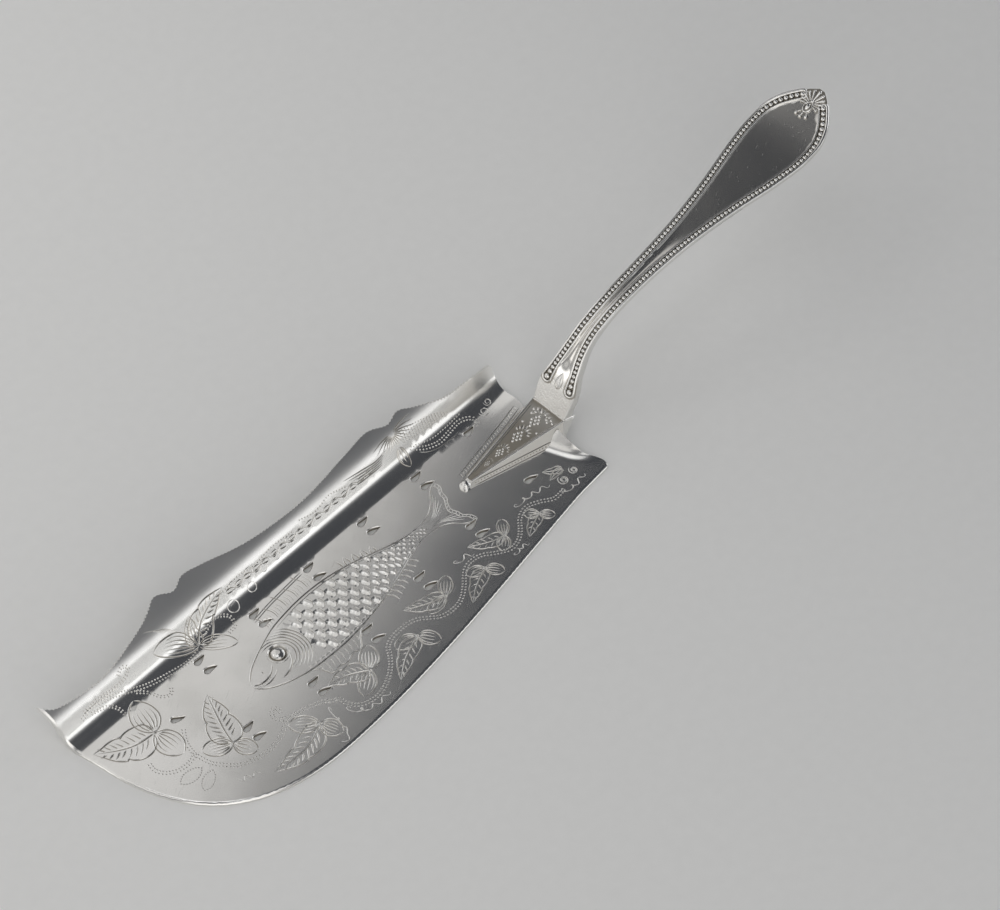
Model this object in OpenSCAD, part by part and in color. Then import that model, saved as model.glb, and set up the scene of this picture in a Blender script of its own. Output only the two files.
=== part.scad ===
// Fish server: pierced blade with a turned-up back lip, shoulder tongue, arched handle.
// Millimetres, Z up. Origin: underside of the blade's floor, on the handle's centre plane,
// below the middle of the tongue. +X runs towards the handle, +Y towards the lip.

/* [Blade] */
// Length of the blade from heel edge to tip
blade_length = 172; // [140:1:200]
// Thickness of the sheet
sheet = 1.1; // [0.8:0.1:1.5]
// Heel edge's distance in front of the origin
heel_x = 16.3; // [12:0.1:20]
// Cutting edge's distance from the centre plane at the heel
heel_reach = 23.6; // [18:0.5:28]
// Cutting edge's greatest distance from the centre plane
edge_reach = 37.3; // [30:0.1:44]
// How much further out the cutting edge is where the heel starts to turn up
edge_start = 1.1; // [0.5:0.1:2]
// How far the cutting edge swells out past its heel end before it curves
edge_swell = 5.4; // [3:0.1:8]
// Where along the blade the cutting edge is furthest out, heel to tip
edge_peak = 0.69; // [0.6:0.01:0.75]
// Distance from the centre plane to the start of the back fold
fold_reach = 15.5; // [12:0.5:18]

/* [Lip] */
// Inside radius of the back fold
fold_radius = 6.5; // [4:0.5:9]
// Steepest angle of the lip
lip_angle = 60; // [45:1:70]
// Straight part of the lip above the fold
lip_straight = 4; // [2:0.5:6]
// Outside radius of the flare at the lip's top
flare_radius = 10; // [6:0.5:14]
// Angle at which the flare ends
flare_angle = 25; // [15:1:35]
// Lip's reach beyond the fold between the ears
lip_reach = 10.9; // [9:0.1:12]
// Lip's reach beyond the fold near the heel
lip_heel_reach = 7.7; // [6:0.1:9]
// How far the ear near the tip stands out past the lip
tip_ear = 5.6; // [3:0.1:7]
// How far the ear near the heel stands out past the lip
heel_ear = 2.9; // [2:0.1:5]
// Depth of the notch in the middle of an ear
ear_notch = 2; // [1:0.1:3]
// How far the horn at the tip's corner stands out
tip_horn = 3.2; // [1:0.1:5]
// How far past the fold the tip's edge turns out into the horn
horn_start = 5; // [3:0.1:8]
// How far the lip draws in between the tip's horn and its ear
tip_waist = 1.4; // [0:0.1:3]

/* [Heel] */
// Inside radius of the turned-up heel
heel_radius = 11.5; // [8:0.5:15]
// Steepest angle of the turned-up heel
heel_angle = 50; // [35:1:60]
// How far the small horn at the heel's right corner stands out
heel_horn = 1.6; // [0:0.1:2.5]
// Distance from the cutting edge over which the turned-up heel runs out
heel_fade = 6.5; // [4:0.1:9]
// How far the heel's two corners run past the heel edge
corner_out = 3; // [0:0.1:4]

/* [Piercing] */
// Length of a comma-shaped piercing
comma_length = 4.4; // [3:0.1:6]
// Width of a comma's head
comma_width = 1.9; // [1.2:0.1:2.6]
// Sideways bend of a comma's tail
comma_bend = 0.7; // [0:0.1:1.2]
// Distance between the two commas of a pair
pair_gap = 4.1; // [3:0.1:5]
// Spacing of the pairs along the back row
back_pitch = 22.2; // [18:0.1:26]
// Spacing of the pairs along the edge row
edge_pitch = 23.5; // [18:0.1:26]
// Back row's distance from the centre plane
back_row = 13.9; // [11:0.1:14.5]
// Edge row's distance from the centre plane at the heel
edge_row = 9.5; // [8:0.1:12]
// How much further out the edge row lies at its widest
row_spread = 5.3; // [2:0.1:8]

/* [Tongue] */
// Length of the tongue from its tip to the handle seam
tongue_length = 33.5; // [26:0.5:40]
// How far the seam stands out past the heel edge
seam_overhang = 2.7; // [1.5:0.1:4]
// Width of the tongue's top face at the seam
seam_width = 12; // [9:0.1:15]
// Height of the tongue's top above the table at the seam
seam_height = 6.4; // [5:0.1:8]
// Thickness of tongue and handle at the seam
seam_depth = 5; // [4:0.1:6]
// How much wider each side of the tongue is at its foot
tongue_flare = 2.6; // [1:0.1:4]
// Half width of the rounded nub at the tongue's tip
nub_radius = 1.7; // [1.2:0.1:2.5]
// Height of the nub above the blade
nub_height = 1.5; // [1:0.1:2.5]
// Sideways lean of the tongue's tip towards the lip
tongue_lean = 1.3; // [0:0.1:2]

/* [Handle] */
// Angle at which the handle leaves the seam
neck_angle = 63; // [50:1:70]
// Run of the handle from the seam to its end
handle_run = 117; // [95:1:135]
// Height of the handle's end above the table
end_height = 48.8; // [38:0.1:58]
// Width of the bolster
bolster_width = 13; // [11:0.1:16]
// Width of the neck
neck_width = 7.1; // [6:0.1:9]
// Greatest width near the handle's end
end_width = 23.2; // [18:0.1:28]
// Thickness of the neck
neck_depth = 3.2; // [2.5:0.1:4.5]
// Thickness of the handle's end
end_depth = 2.3; // [1.8:0.1:3.5]
// Width of the border: rim, bead channel and inner rim
border = 2.8; // [2:0.1:3.5]
// Depth of the bead channel below the rims
channel_depth = 0.55; // [0.3:0.05:0.8]
// Clearance between a bead and the channel's walls
bead_clearance = 0.09; // [0.05:0.01:0.2]
// Gap between neighbouring beads
bead_gap = 0.18; // [0.1:0.01:0.5]
// How far a bead is sunk into the channel's floor
bead_sink = 0.45; // [0.2:0.05:0.5]
// Depth of the plain panel below the rims
panel_depth = 0.3; // [0.1:0.05:0.6]

/* [Ornament] */
// Length of the leaf between the loops
leaf_length = 3.4; // [2:0.1:5]
// Width of the leaf between the loops
leaf_width = 2.6; // [1.5:0.1:3.5]
// Height of the leaf above the neck
leaf_height = 0.6; // [0.3:0.1:1]
// Distance of the shell's lobes from its root
shell_reach = 2.9; // [2:0.1:4]
// Angle from the middle lobe to the last lobe
shell_spread = 130; // [90:5:150]
// Radius of a lobe
lobe_radius = 0.75; // [0.5:0.05:1.2]
// Height of a lobe above the handle
lobe_height = 0.55; // [0.3:0.05:0.8]
// Width of the boss at the shell's root
boss_width = 1.3; // [0.8:0.1:2]
// Length of the boss along the handle
boss_length = 2.4; // [1.5:0.1:4]
// Height of the boss
boss_height = 0.7; // [0.3:0.1:1]

/* [Hidden] */
$fn = 48;
silver = [0.78, 0.78, 0.76];
over = sheet;                              // cutters stand out this far
shell_lobes = 4;                           // lobes each side of the middle one
leaf_place = 0.09;                         // places along the crest's points
shell_place = 0.972;
leaf_dome = leaf_length * leaf_length / 8 / leaf_height + leaf_height;
leaf_peak = 0.77;                          // greatest value of the leaf's own formula
comma_steps = 8;
comma_swell = 0.5;                         // fullness of a comma's tail
curve_steps = 6;                           // pieces per span of a smooth curve
crest_steps = 8;
fold_steps = 16;
flare_steps = 9;
heel_steps = 12;
tall = blade_length / 4;                   // above every part of the blade
far = 2 * blade_length;

// fold and flare seen along the blade, as (y, z)
fold_centre = [fold_reach, fold_radius + sheet];
lip_out = [sin(lip_angle), -cos(lip_angle)];
lip_up = [cos(lip_angle), sin(lip_angle)];
flare_up = [cos(flare_angle), sin(flare_angle)];
flare_centre = fold_centre + (fold_radius + sheet + flare_radius) * lip_out + lip_straight * lip_up;

// heel seen from the side, as (x, z)
heel_bend_x = heel_x - (heel_radius + sheet) * sin(heel_angle) + sheet * sin(heel_angle) / 2;
heel_centre = [heel_bend_x, heel_radius + sheet];
heel_up = [cos(heel_angle), sin(heel_angle)];

// seam between tongue and handle: its top line and the way into the metal
tongue_tip_x = heel_x + seam_overhang - tongue_length;
seam_x = heel_x + seam_overhang;
seam_in = [sin(neck_angle), -cos(neck_angle)];
seam_top = [seam_x, seam_height];
seam_foot = seam_top + seam_depth * seam_in;

// smooth curve through points
function blend(a, b, c, d, t) =
    0.5 * (2 * b + (c - a) * t + (2 * a - 5 * b + 4 * c - d) * t * t
           + (3 * b - a - 3 * c + d) * t * t * t);
function smooth(p, n = curve_steps) = [
    for (i = [0 : len(p) - 2], k = [0 : n - 1])
        blend(p[max(i - 1, 0)], p[i], p[i + 1], p[min(i + 2, len(p) - 1)], k / n),
    p[len(p) - 1]];
// smooth value between stations along a run
function slope(p, i) =
    let (a = p[max(i - 1, 0)], b = p[min(i + 1, len(p) - 1)]) (b[1] - a[1]) / (b[0] - a[0]);
function between(p, x, i = 0) =
    x <= p[0][0] ? p[0][1]
    : i >= len(p) - 1 ? p[len(p) - 1][1]
    : x > p[i + 1][0] ? between(p, x, i + 1)
    : let (h = p[i + 1][0] - p[i][0], t = (x - p[i][0]) / h, u = 1 - t)
        p[i][1] * (1 + 2 * t) * u * u + p[i + 1][1] * (3 - 2 * t) * t * t
        + h * t * u * (slope(p, i) * u - slope(p, i + 1) * t);
function step(p, x) = x < p[0] || x > p[1] ? 0 : 1;

// plan outline of the blade
function along(f) = heel_x - blade_length * f;
function bezier(a, b, c, d, n) = [
    for (k = [0 : n])
        let (t = k / n, s = 1 - t)
            s * s * s * a + 3 * s * s * t * b + 3 * s * t * t * c + t * t * t * d];
function tail(p) = [for (k = [1 : len(p) - 1]) p[k]];
lip_y = fold_reach + lip_reach;
horn_y = lip_y + tip_horn;
edge_curve = bezier([heel_bend_x, -heel_reach - edge_start], [along(0.23), -heel_reach - edge_swell],
    [along(edge_peak * 0.71), -edge_reach], [along(edge_peak), -edge_reach], 18);
tip_curve = bezier([along(edge_peak), -edge_reach], [along(0.915), -edge_reach],
    [along(0.985), -edge_reach * 0.43], [along(0.999), fold_reach * 0.65], 24);
horn_curve = bezier([along(0.999), fold_reach * 0.65], [along(1.004), fold_reach],
    [along(1.01), fold_reach + horn_start], [along(1.019), horn_y], 8);
lip_curve = smooth([
    [along(1.019), horn_y],
    [along(0.997), lip_y],
    [along(0.94), lip_y - tip_waist],
    [along(0.88), lip_y - tip_waist],
    [along(0.8), lip_y + tip_ear * 0.24],
    [along(0.765), lip_y + tip_ear * 0.6],
    [along(0.735), lip_y + tip_ear],
    [along(0.702), lip_y + tip_ear - ear_notch],
    [along(0.672), lip_y + tip_ear * 0.95],
    [along(0.63), lip_y + tip_ear * 0.75],
    [along(0.54), lip_y + tip_ear * 0.18],
    [along(0.42), lip_y],
    [along(0.31), lip_y + heel_ear * 0.65],
    [along(0.25), lip_y + heel_ear],
    [along(0.211), lip_y + heel_ear - ear_notch],
    [along(0.18), lip_y + heel_ear * 0.69],
    [along(0.15), lip_y],
    [along(0.095), fold_reach + lip_heel_reach * 1.065],
    [along(0.03), fold_reach + lip_heel_reach]]);
heel_curve = [
    [heel_x + corner_out * 0.47, fold_reach + lip_heel_reach * 0.99],
    [heel_x + corner_out, fold_reach + lip_heel_reach * 0.84],
    [heel_x + corner_out * 0.4, fold_reach + lip_heel_reach * 0.47],
    [heel_x, fold_reach + lip_heel_reach * 0.13],
    [heel_x, -heel_reach + heel_fade],
    [heel_x + heel_horn * 0.4, -heel_reach + heel_fade * 0.71],
    [heel_x + heel_horn, -heel_reach + heel_fade * 0.43],
    [heel_bend_x, -heel_reach + heel_fade * 0.09]];
// flat corner at the cutting edge's heel end, in front of the turned-up part
corner_plan = [
    [heel_bend_x - heel_fade * 0.6, -heel_reach + heel_fade * 0.3],
    [heel_x, -heel_reach + heel_fade * 0.37],
    [heel_x + corner_out, -heel_reach + heel_fade * 0.14],
    [heel_x + corner_out, -heel_reach],
    [heel_bend_x - heel_fade * 0.6, -heel_reach - edge_start * 1.09]];

module blade_plan() {
    polygon(concat(edge_curve, tail(tip_curve), tail(horn_curve), tail(lip_curve), heel_curve));
}

// arc about a centre, its angles turned from straight down
function arc(centre, radius, from, to, n) = [
    for (k = [0 : n])
        let (turn = from + (to - from) * k / n)
            centre + radius * [sin(turn), -cos(turn)]];

// everything above a turned-up sheet, seen along the bend, lifted off its underside
module above_lip(lift) {
    fold = arc(fold_centre, fold_radius + sheet - lift, 0, lip_angle, fold_steps);
    flare = arc(flare_centre, -flare_radius - lift, lip_angle, flare_angle, flare_steps);
    top = flare[flare_steps] + tall * flare_up;
    polygon(concat([[-far, tall], [-far, lift]], fold, flare, [top, [top[0], tall]]));
}

module above_heel(lift) {
    bend = arc(heel_centre, heel_radius + sheet - lift, 0, heel_angle, heel_steps);
    top = bend[heel_steps] + tall * heel_up;
    polygon(concat([[-far, tall], [-far, lift]], bend, [top, [top[0], tall]]));
}

// inside of the tray, lifted off the underside of the sheet
module tray(lift) {
    intersection() {
        translate([-far, 0, 0])
            rotate([90, 0, 90])
                linear_extrude(2 * far)
                    above_lip(lift);
        translate([0, far, 0])
            rotate([90, 0, 0])
                linear_extrude(2 * far)
                    above_heel(lift);
    }
}

// comma-shaped piercing about the origin, its tail along +X and bent to one side
module comma(side) {
    head = comma_width / 2;
    reach = comma_length - head;
    outline = [for (half = [1, -1], k = [0 : comma_steps])
        let (t = half > 0 ? k / comma_steps : 1 - k / comma_steps)
            [reach * t, side * comma_bend * t * t + half * head * (1 - t) * (1 + comma_swell * t)]];
    translate([-reach / 2, 0]) {
        circle(head);
        polygon(outline);
    }
}

module piercings() {
    single_x = back_pitch * 0.045;
    tip_single = [along(0.843), back_row * 0.273];
    tip_turn = -35;
    spread = [0, 0.36, 0.72, 1, 0.51];
    translate([single_x, back_row])
        comma(1);
    translate([single_x, -edge_row * 1.105])
        comma(-1);
    translate(tip_single)
        rotate(tip_turn)
            comma(1);
    for (k = [1 : len(spread)]) {
        translate([single_x - back_pitch * k, back_row])
            comma(1);
        translate([single_x - back_pitch * k, back_row - pair_gap])
            comma(-1);
        translate([single_x - edge_pitch * k, -edge_row - row_spread * spread[k - 1]])
            comma(1);
        translate([single_x - edge_pitch * k, -edge_row - row_spread * spread[k - 1] - pair_gap])
            comma(-1);
    }
}

// half width of the tongue's foot at a place along it
foot_half = seam_width / 2 + tongue_flare;
function tongue_half(x) =
    nub_radius + (foot_half - nub_radius) * (x - tongue_tip_x) / (heel_x - tongue_tip_x);

module heel_tab() {
    back = heel_bend_x - over;
    linear_extrude(sheet)
        polygon([[back, tongue_half(back)], [heel_x, foot_half], [heel_x, -foot_half],
            [back, -tongue_half(back)]]);
}

module tongue_body() {
    tip = tongue_tip_x;
    nub_top = sheet + nub_height;
    seam_half = seam_width / 2;
    points = [
        [tip, tongue_lean - nub_radius, sheet],
        [tip, tongue_lean + nub_radius, sheet],
        [heel_x, foot_half, sheet],
        [heel_x, -foot_half, sheet],
        [seam_foot[0], seam_half, seam_foot[1]],
        [seam_foot[0], -seam_half, seam_foot[1]],
        [seam_top[0], seam_half, seam_top[1]],
        [seam_top[0], -seam_half, seam_top[1]],
        [tip + nub_radius, tongue_lean + nub_radius / 2, nub_top],
        [tip + nub_radius, tongue_lean - nub_radius / 2, nub_top]];
    polyhedron(points, [
        [0, 3, 2, 1], [3, 5, 4, 2], [5, 7, 6, 4], [7, 9, 8, 6], [9, 0, 1, 8],
        [1, 2, 6], [1, 6, 8], [2, 4, 6], [0, 7, 3], [0, 9, 7], [3, 7, 5]]);
}

module blade() {
    color(silver)
        difference() {
            union() {
                intersection() {
                    difference() {
                        tray(0);
                        tray(sheet);
                    }
                    translate([0, 0, -over])
                        linear_extrude(tall)
                            blade_plan();
                }
                heel_tab();
                linear_extrude(sheet)
                    polygon(corner_plan);
            }
            tongue_body();
            translate([0, 0, -over])
                linear_extrude(sheet + 2 * over)
                    piercings();
        }
}

module tongue() {
    color(silver) {
        tongue_body();
        translate([tongue_tip_x, tongue_lean, sheet])
            cylinder(h = nub_height, r1 = nub_radius, r2 = nub_radius / 2);
    }
}

// handle: centre line of its top face from the side, as (x, z)
rise = end_height - seam_height;
function out_x(f) = seam_x + handle_run * f;
function up_z(f) = seam_height + rise * f;
crest = smooth([
    seam_top,
    [out_x(0.034), up_z(0.19)],
    [out_x(0.073), up_z(0.355)],
    [out_x(0.12), up_z(0.5)],
    [out_x(0.188), up_z(0.6)],
    [out_x(0.282), up_z(0.67)],
    [out_x(0.402), up_z(0.722)],
    [out_x(0.556), up_z(0.774)],
    [out_x(0.726), up_z(0.83)],
    [out_x(0.863), up_z(0.89)],
    [out_x(1), up_z(1)]], crest_steps);

// half width, thickness and border strength by place along the handle
half_width = [
    [0, seam_width / 2],
    [0.03, bolster_width / 2],
    [0.06, bolster_width * 0.385],
    [0.11, neck_width * 0.53],
    [0.19, neck_width * 0.495],
    [0.28, neck_width * 0.51],
    [0.38, neck_width * 0.57],
    [0.5, end_width * 0.225],
    [0.62, end_width * 0.32],
    [0.72, end_width * 0.423],
    [0.8, end_width * 0.488],
    [0.845, end_width / 2],
    [0.89, end_width * 0.485],
    [0.93, end_width * 0.405],
    [0.965, end_width * 0.27],
    [0.985, end_width * 0.16],
    [1, end_width * 0.05]];
depth_run = [
    [0, seam_depth],
    [0.08, neck_depth * 1.19],
    [0.15, neck_depth],
    [0.32, end_depth * 1.09],
    [1, end_depth]];
// the border runs between these places, split by shares from the edge inwards
border_run = [0.038, 0.93];
rim_share = 0.2;
channel_from = 0.25;
channel_to = 0.76;
inner_from = 0.8;
narrow_share = 0.8;                        // most of a half width that the border takes up
bevel_share = 0.22;                        // of the thickness, along the outer edges
function border_at(w) = min(border, narrow_share * w);

function tangent(p, i) =
    let (d = p[min(i + 1, len(p) - 1)] - p[max(i - 1, 0)]) d / norm(d);

// one section across the handle, from the right edge's top over the panel and back below
function section(w, depth, b) =
    let (edge = border_at(w), channel = channel_depth * b, panel = panel_depth * b,
         inner_top = panel * rim_share, bevel = depth * bevel_share)
    let (half = [
        [w - edge * 1.08, -panel],
        [w - edge, -inner_top],
        [w - edge * inner_from, -inner_top],
        [w - edge * channel_to, -channel],
        [w - edge * channel_from, -channel],
        [w - edge * rim_share, 0],
        [w - edge * 0.06, 0],
        [w, -bevel],
        [w, -depth + bevel],
        [w - bevel * 1.5, -depth]])
    concat(half, [for (k = [len(half) - 1 : -1 : 0]) [-half[k][0], half[k][1]]]);

function middle(ring) =
    [for (c = [0 : 2]) (ring[0][c] + ring[9][c] + ring[10][c] + ring[19][c]) / 4];

module handle() {
    color(silver) {
        n = len(crest);
        rings = [for (i = [0 : n - 1])
            let (f = (crest[i][0] - seam_x) / handle_run,
                 t = i == 0 ? [cos(neck_angle), sin(neck_angle)] : tangent(crest, i),
                 s = section(between(half_width, f), between(depth_run, f), step(border_run, f)))
            [for (q = s) [crest[i][0] - q[1] * t[1], q[0], crest[i][1] + q[1] * t[0]]]];
        m = len(rings[0]);
        points = concat([for (r = rings) each r], [middle(rings[0]), middle(rings[n - 1])]);
        sides = [for (i = [0 : n - 2], k = [0 : m - 1])
            let (a = i * m + k, b = i * m + (k + 1) % m)
            each [[a, b, a + m], [b, b + m, a + m]]];
        first = [for (k = [0 : m - 1]) [n * m, (k + 1) % m, k]];
        last = [for (k = [0 : m - 1]) [n * m + 1, (n - 1) * m + k, (n - 1) * m + (k + 1) % m]];
        polyhedron(points, concat(sides, first, last));
        beads();
        on_crest(leaf_place)
            leaf();
        on_crest(shell_place)
            shell();
    }
}

// length of the crest up to each of its points, and the crest's place at a length
function run_to(i) = i == 0 ? 0 : run_to(i - 1) + norm(crest[i] - crest[i - 1]);
crest_run = [for (i = [0 : len(crest) - 1]) run_to(i)];
function crest_at(s) = [for (c = [0, 1])
    lookup(s, [for (i = [0 : len(crest) - 1]) [crest_run[i], crest[i][c]]])];
function run_at(x) = lookup(x, [for (i = [0 : len(crest) - 1]) [crest[i][0], crest_run[i]]]);

// a row of beads in each channel, seated in its floor
module beads() {
    share = (channel_to - channel_from) / 2;
    pitch = 2 * (border * share - bead_clearance) + bead_gap;
    first = run_at(out_x(border_run[0])) + pitch;
    last = run_at(out_x(border_run[1])) - pitch;
    for (s = [first : pitch : last]) {
        d = crest_at(s + pitch / 2) - crest_at(s - pitch / 2);
        w = between(half_width, (crest_at(s)[0] - seam_x) / handle_run);
        radius = border_at(w) * share - bead_clearance;
        level = radius - channel_depth - bead_sink;
        at = crest_at(s) + level * [-d[1], d[0]] / norm(d);
        y = w - border_at(w) * (channel_from + share);
        for (side = [-1, 1])
            translate([at[0], side * y, at[1]])
                sphere(radius);
    }
}

// puts a child on the handle's top face, +X along the handle
module on_crest(f) {
    i = round(f * (len(crest) - 1));
    t = tangent(crest, i);
    translate([crest[i][0], 0, crest[i][1]])
        rotate([0, -atan2(t[1], t[0]), 0])
            children();
}

module leaf() {
    outline = [for (turn = [0 : 15 : 345])
        [leaf_length / 2 * cos(turn), leaf_width / 2 / leaf_peak * sin(turn) * sin(turn / 2)]];
    intersection() {
        translate([0, 0, leaf_height - leaf_dome])
            sphere(leaf_dome);
        translate([0, 0, -over])
            linear_extrude(2 * over)
                polygon(outline);
    }
}

module shell() {
    for (k = [-shell_lobes : shell_lobes])
        rotate(k * shell_spread / shell_lobes)
            translate([shell_reach, 0, lobe_height - lobe_radius])
                sphere(lobe_radius);
    translate([-boss_length / 2, 0, -over])
        cylinder(h = over + boss_height, r1 = boss_width, r2 = boss_width / 2);
}

blade();
tongue();
handle();
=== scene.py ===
import math

import bpy
import numpy as np
from mathutils import Matrix, Vector
from mathutils.geometry import delaunay_2d_cdt


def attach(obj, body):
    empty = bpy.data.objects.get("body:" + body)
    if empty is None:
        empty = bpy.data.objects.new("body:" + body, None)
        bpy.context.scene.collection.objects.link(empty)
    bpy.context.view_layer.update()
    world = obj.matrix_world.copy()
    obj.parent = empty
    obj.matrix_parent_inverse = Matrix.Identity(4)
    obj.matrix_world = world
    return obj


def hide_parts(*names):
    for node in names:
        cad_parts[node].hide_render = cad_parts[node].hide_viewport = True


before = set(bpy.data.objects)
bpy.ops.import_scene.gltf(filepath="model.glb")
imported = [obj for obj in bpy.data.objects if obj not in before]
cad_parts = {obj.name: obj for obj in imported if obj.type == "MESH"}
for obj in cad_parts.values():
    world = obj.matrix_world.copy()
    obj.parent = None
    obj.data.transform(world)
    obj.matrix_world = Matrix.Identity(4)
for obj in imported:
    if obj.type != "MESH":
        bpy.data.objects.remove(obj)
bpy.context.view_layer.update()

mm = 0.001                               # layouts are in millimetres, objects in metres
print("frame loaded:", ", ".join(sorted(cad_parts)))


# curves
def bezier(a, b, c, d, steps):
    a, b, c, d = (np.array(p, float) for p in (a, b, c, d))
    t = np.linspace(0, 1, steps + 1)[:, None]
    return (1 - t) ** 3 * a + 3 * (1 - t) ** 2 * t * b + 3 * (1 - t) * t * t * c + t ** 3 * d


def smooth(points, steps=6):             # a soft line through the points
    p = np.array(points, float)
    p = np.vstack([p[:1], p, p[-1:]])
    t = np.linspace(0, 1, steps, endpoint=False)[:, None]
    spans = []
    for a, b, c, d in zip(p, p[1:], p[2:], p[3:]):
        spans.append(0.5 * (2 * b + (c - a) * t + (2 * a - 5 * b + 4 * c - d) * t ** 2
                            + (3 * b - a - 3 * c + d) * t ** 3))
    return np.vstack(spans + [p[-1:]])


def runAlong(points):
    return np.concatenate([[0], np.cumsum(np.linalg.norm(np.diff(points, axis=0), axis=1))])


def evenly(points, gap):                 # the same line with points at even gaps
    p = np.asarray(points, float)
    run = runAlong(p)
    at = np.linspace(0, run[-1], max(2, round(run[-1] / gap) + 1))
    return np.column_stack([np.interp(at, run, p[:, k]) for k in range(p.shape[1])])


def heightOn(line, x):                   # a line's second value where its first is x
    return np.interp(x, line[:, 0], line[:, 1])


def leftOf(points):                      # unit normals to the left of a flat line
    t = np.gradient(points, axis=0)
    t /= np.maximum(np.linalg.norm(t, axis=1), 1e-9)[:, None]
    return np.column_stack([-t[:, 1], t[:, 0]])


def circle(centre, radius, steps=14, turn=0.0):
    a = np.linspace(0, 2 * math.pi, steps + 1) + turn
    return np.array(centre) + radius * np.column_stack([np.cos(a), np.sin(a)])


def ease(x):
    x = np.clip(x, 0, 1)
    return x * x * (3 - 2 * x)


def insideOf(loop, points):              # which points lie inside a closed loop
    x, y = points[:, 0], points[:, 1]
    within = np.zeros(len(points), bool)
    for (ax, ay), (bx, by) in zip(loop, np.roll(loop, -1, axis=0)):
        if ay != by:
            within ^= ((ay > y) != (by > y)) & (x < (bx - ax) * (y - ay) / (by - ay) + ax)
    return within


def nearest(points, line):               # distance of each point to a line's own points
    return np.concatenate([np.sqrt(((part[:, None] - line[None]) ** 2).sum(2)).min(1)
                           for part in np.array_split(points, max(1, len(points) // 2000))])


# engraving: cuts and pits laid out on a flat sheet, then meshed into it
class Graver:
    def __init__(self):
        self.cuts, self.pits, self.bevels, self.domes = [], [], [], []

    def cut(self, points, width=0.42, depth=0.14, fade=(0.3, 0.3), sides=(1, 1), gap=0.8):
        p = evenly(points, gap)
        t = np.linspace(0, 1, len(p))
        swell = np.ones(len(p))
        if fade[0]:
            swell = np.minimum(swell, t / fade[0])
        if fade[1]:
            swell = np.minimum(swell, (1 - t) / fade[1])
        swell = np.sqrt(swell)
        self.cuts.append((p, width / 2 * sides[0] * swell, width / 2 * sides[1] * swell, depth * swell))

    def bevel(self, points, profile):    # (reach, drop) pairs in from the line, which is an edge of the sheet
        self.bevels.append((np.asarray(points, float), np.array(profile, float)))

    def dome(self, centre, radius, rise, sink=0.0):      # a ball standing in a sunk ring
        self.domes.append((np.array(centre, float), radius, rise, sink))

    def pit(self, points, radius=0.3, depth=0.16):
        self.pits += [(np.array(p, float), radius, depth) for p in points]

    def dotted(self, points, gap=1.0, apart=0.95, rows=2, radius=0.29):
        line = evenly(points, gap)
        for k in range(rows):
            self.pit(line + leftOf(line) * apart * (k - (rows - 1) / 2), radius, 0.16)


def layOut(graver, outline, holes, grid):    # a flat mesh: points, triangles, depth and darkness
    points, edges = [], []

    def add(p):
        points.append(p)
        return len(points) - 1

    def join(ids, closed=False):
        pairs = zip(ids, ids[1:] + ids[:1]) if closed else zip(ids, ids[1:])
        edges.extend((a, b) for a, b in pairs if a != b)

    for loop in [outline] + holes:
        join([add(p) for p in loop], True)
    for line, left, right, depth in graver.cuts:
        middle = [add(p) for p in line]
        join(middle)
        for side, half in ((1, left), (-1, right)):
            if half.max() > 0.02:
                n = leftOf(line) * side
                join([m if h < 0.02 else add(p + d * h) for m, p, d, h in zip(middle, line, n, half)])
    for centre, radius, depth in graver.pits:
        add(centre)
        join([add(p) for p in circle(centre, radius, 6)[:-1]], True)
    for line, profile in graver.bevels:
        for reach in profile[1:, 0]:
            join([add(p) for p in line + leftOf(line) * reach])
    for centre, radius, rise, sink in graver.domes:
        add(centre)
        for share in (0.3, 0.55, 0.75, 0.9, 1.0, 1.12, 1.28) if radius > 1 else (0.5, 0.85, 1.0, 1.28):
            join([add(p) for p in circle(centre, radius * share, 24 if radius > 1 else 9)[:-1]], True)
    taken = np.array(points)
    points += [p for p, d in zip(grid, nearest(grid, taken)) if d > 0.45]
    made = delaunay_2d_cdt([Vector(p) for p in points], edges, [], 0, 1e-4, False)
    flat = np.array([v[:] for v in made[0]])
    tris = np.array(made[2])
    middle = flat[tris].mean(1)
    keep = insideOf(outline, middle)
    for hole in holes:
        keep &= ~insideOf(hole, middle)
    a, b, c = (flat[tris[:, k]] for k in range(3))
    area = (b[:, 0] - a[:, 0]) * (c[:, 1] - a[:, 1]) - (b[:, 1] - a[:, 1]) * (c[:, 0] - a[:, 0])
    keep &= np.abs(area) > 1e-7
    tris = tris[keep]
    tris[area[keep] < 0] = tris[area[keep] < 0][:, ::-1]
    used = np.unique(tris)
    place = np.zeros(len(flat), int)
    place[used] = np.arange(len(used))
    flat = flat[used]
    return flat, place[tris], *depthAt(graver, flat)


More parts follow.
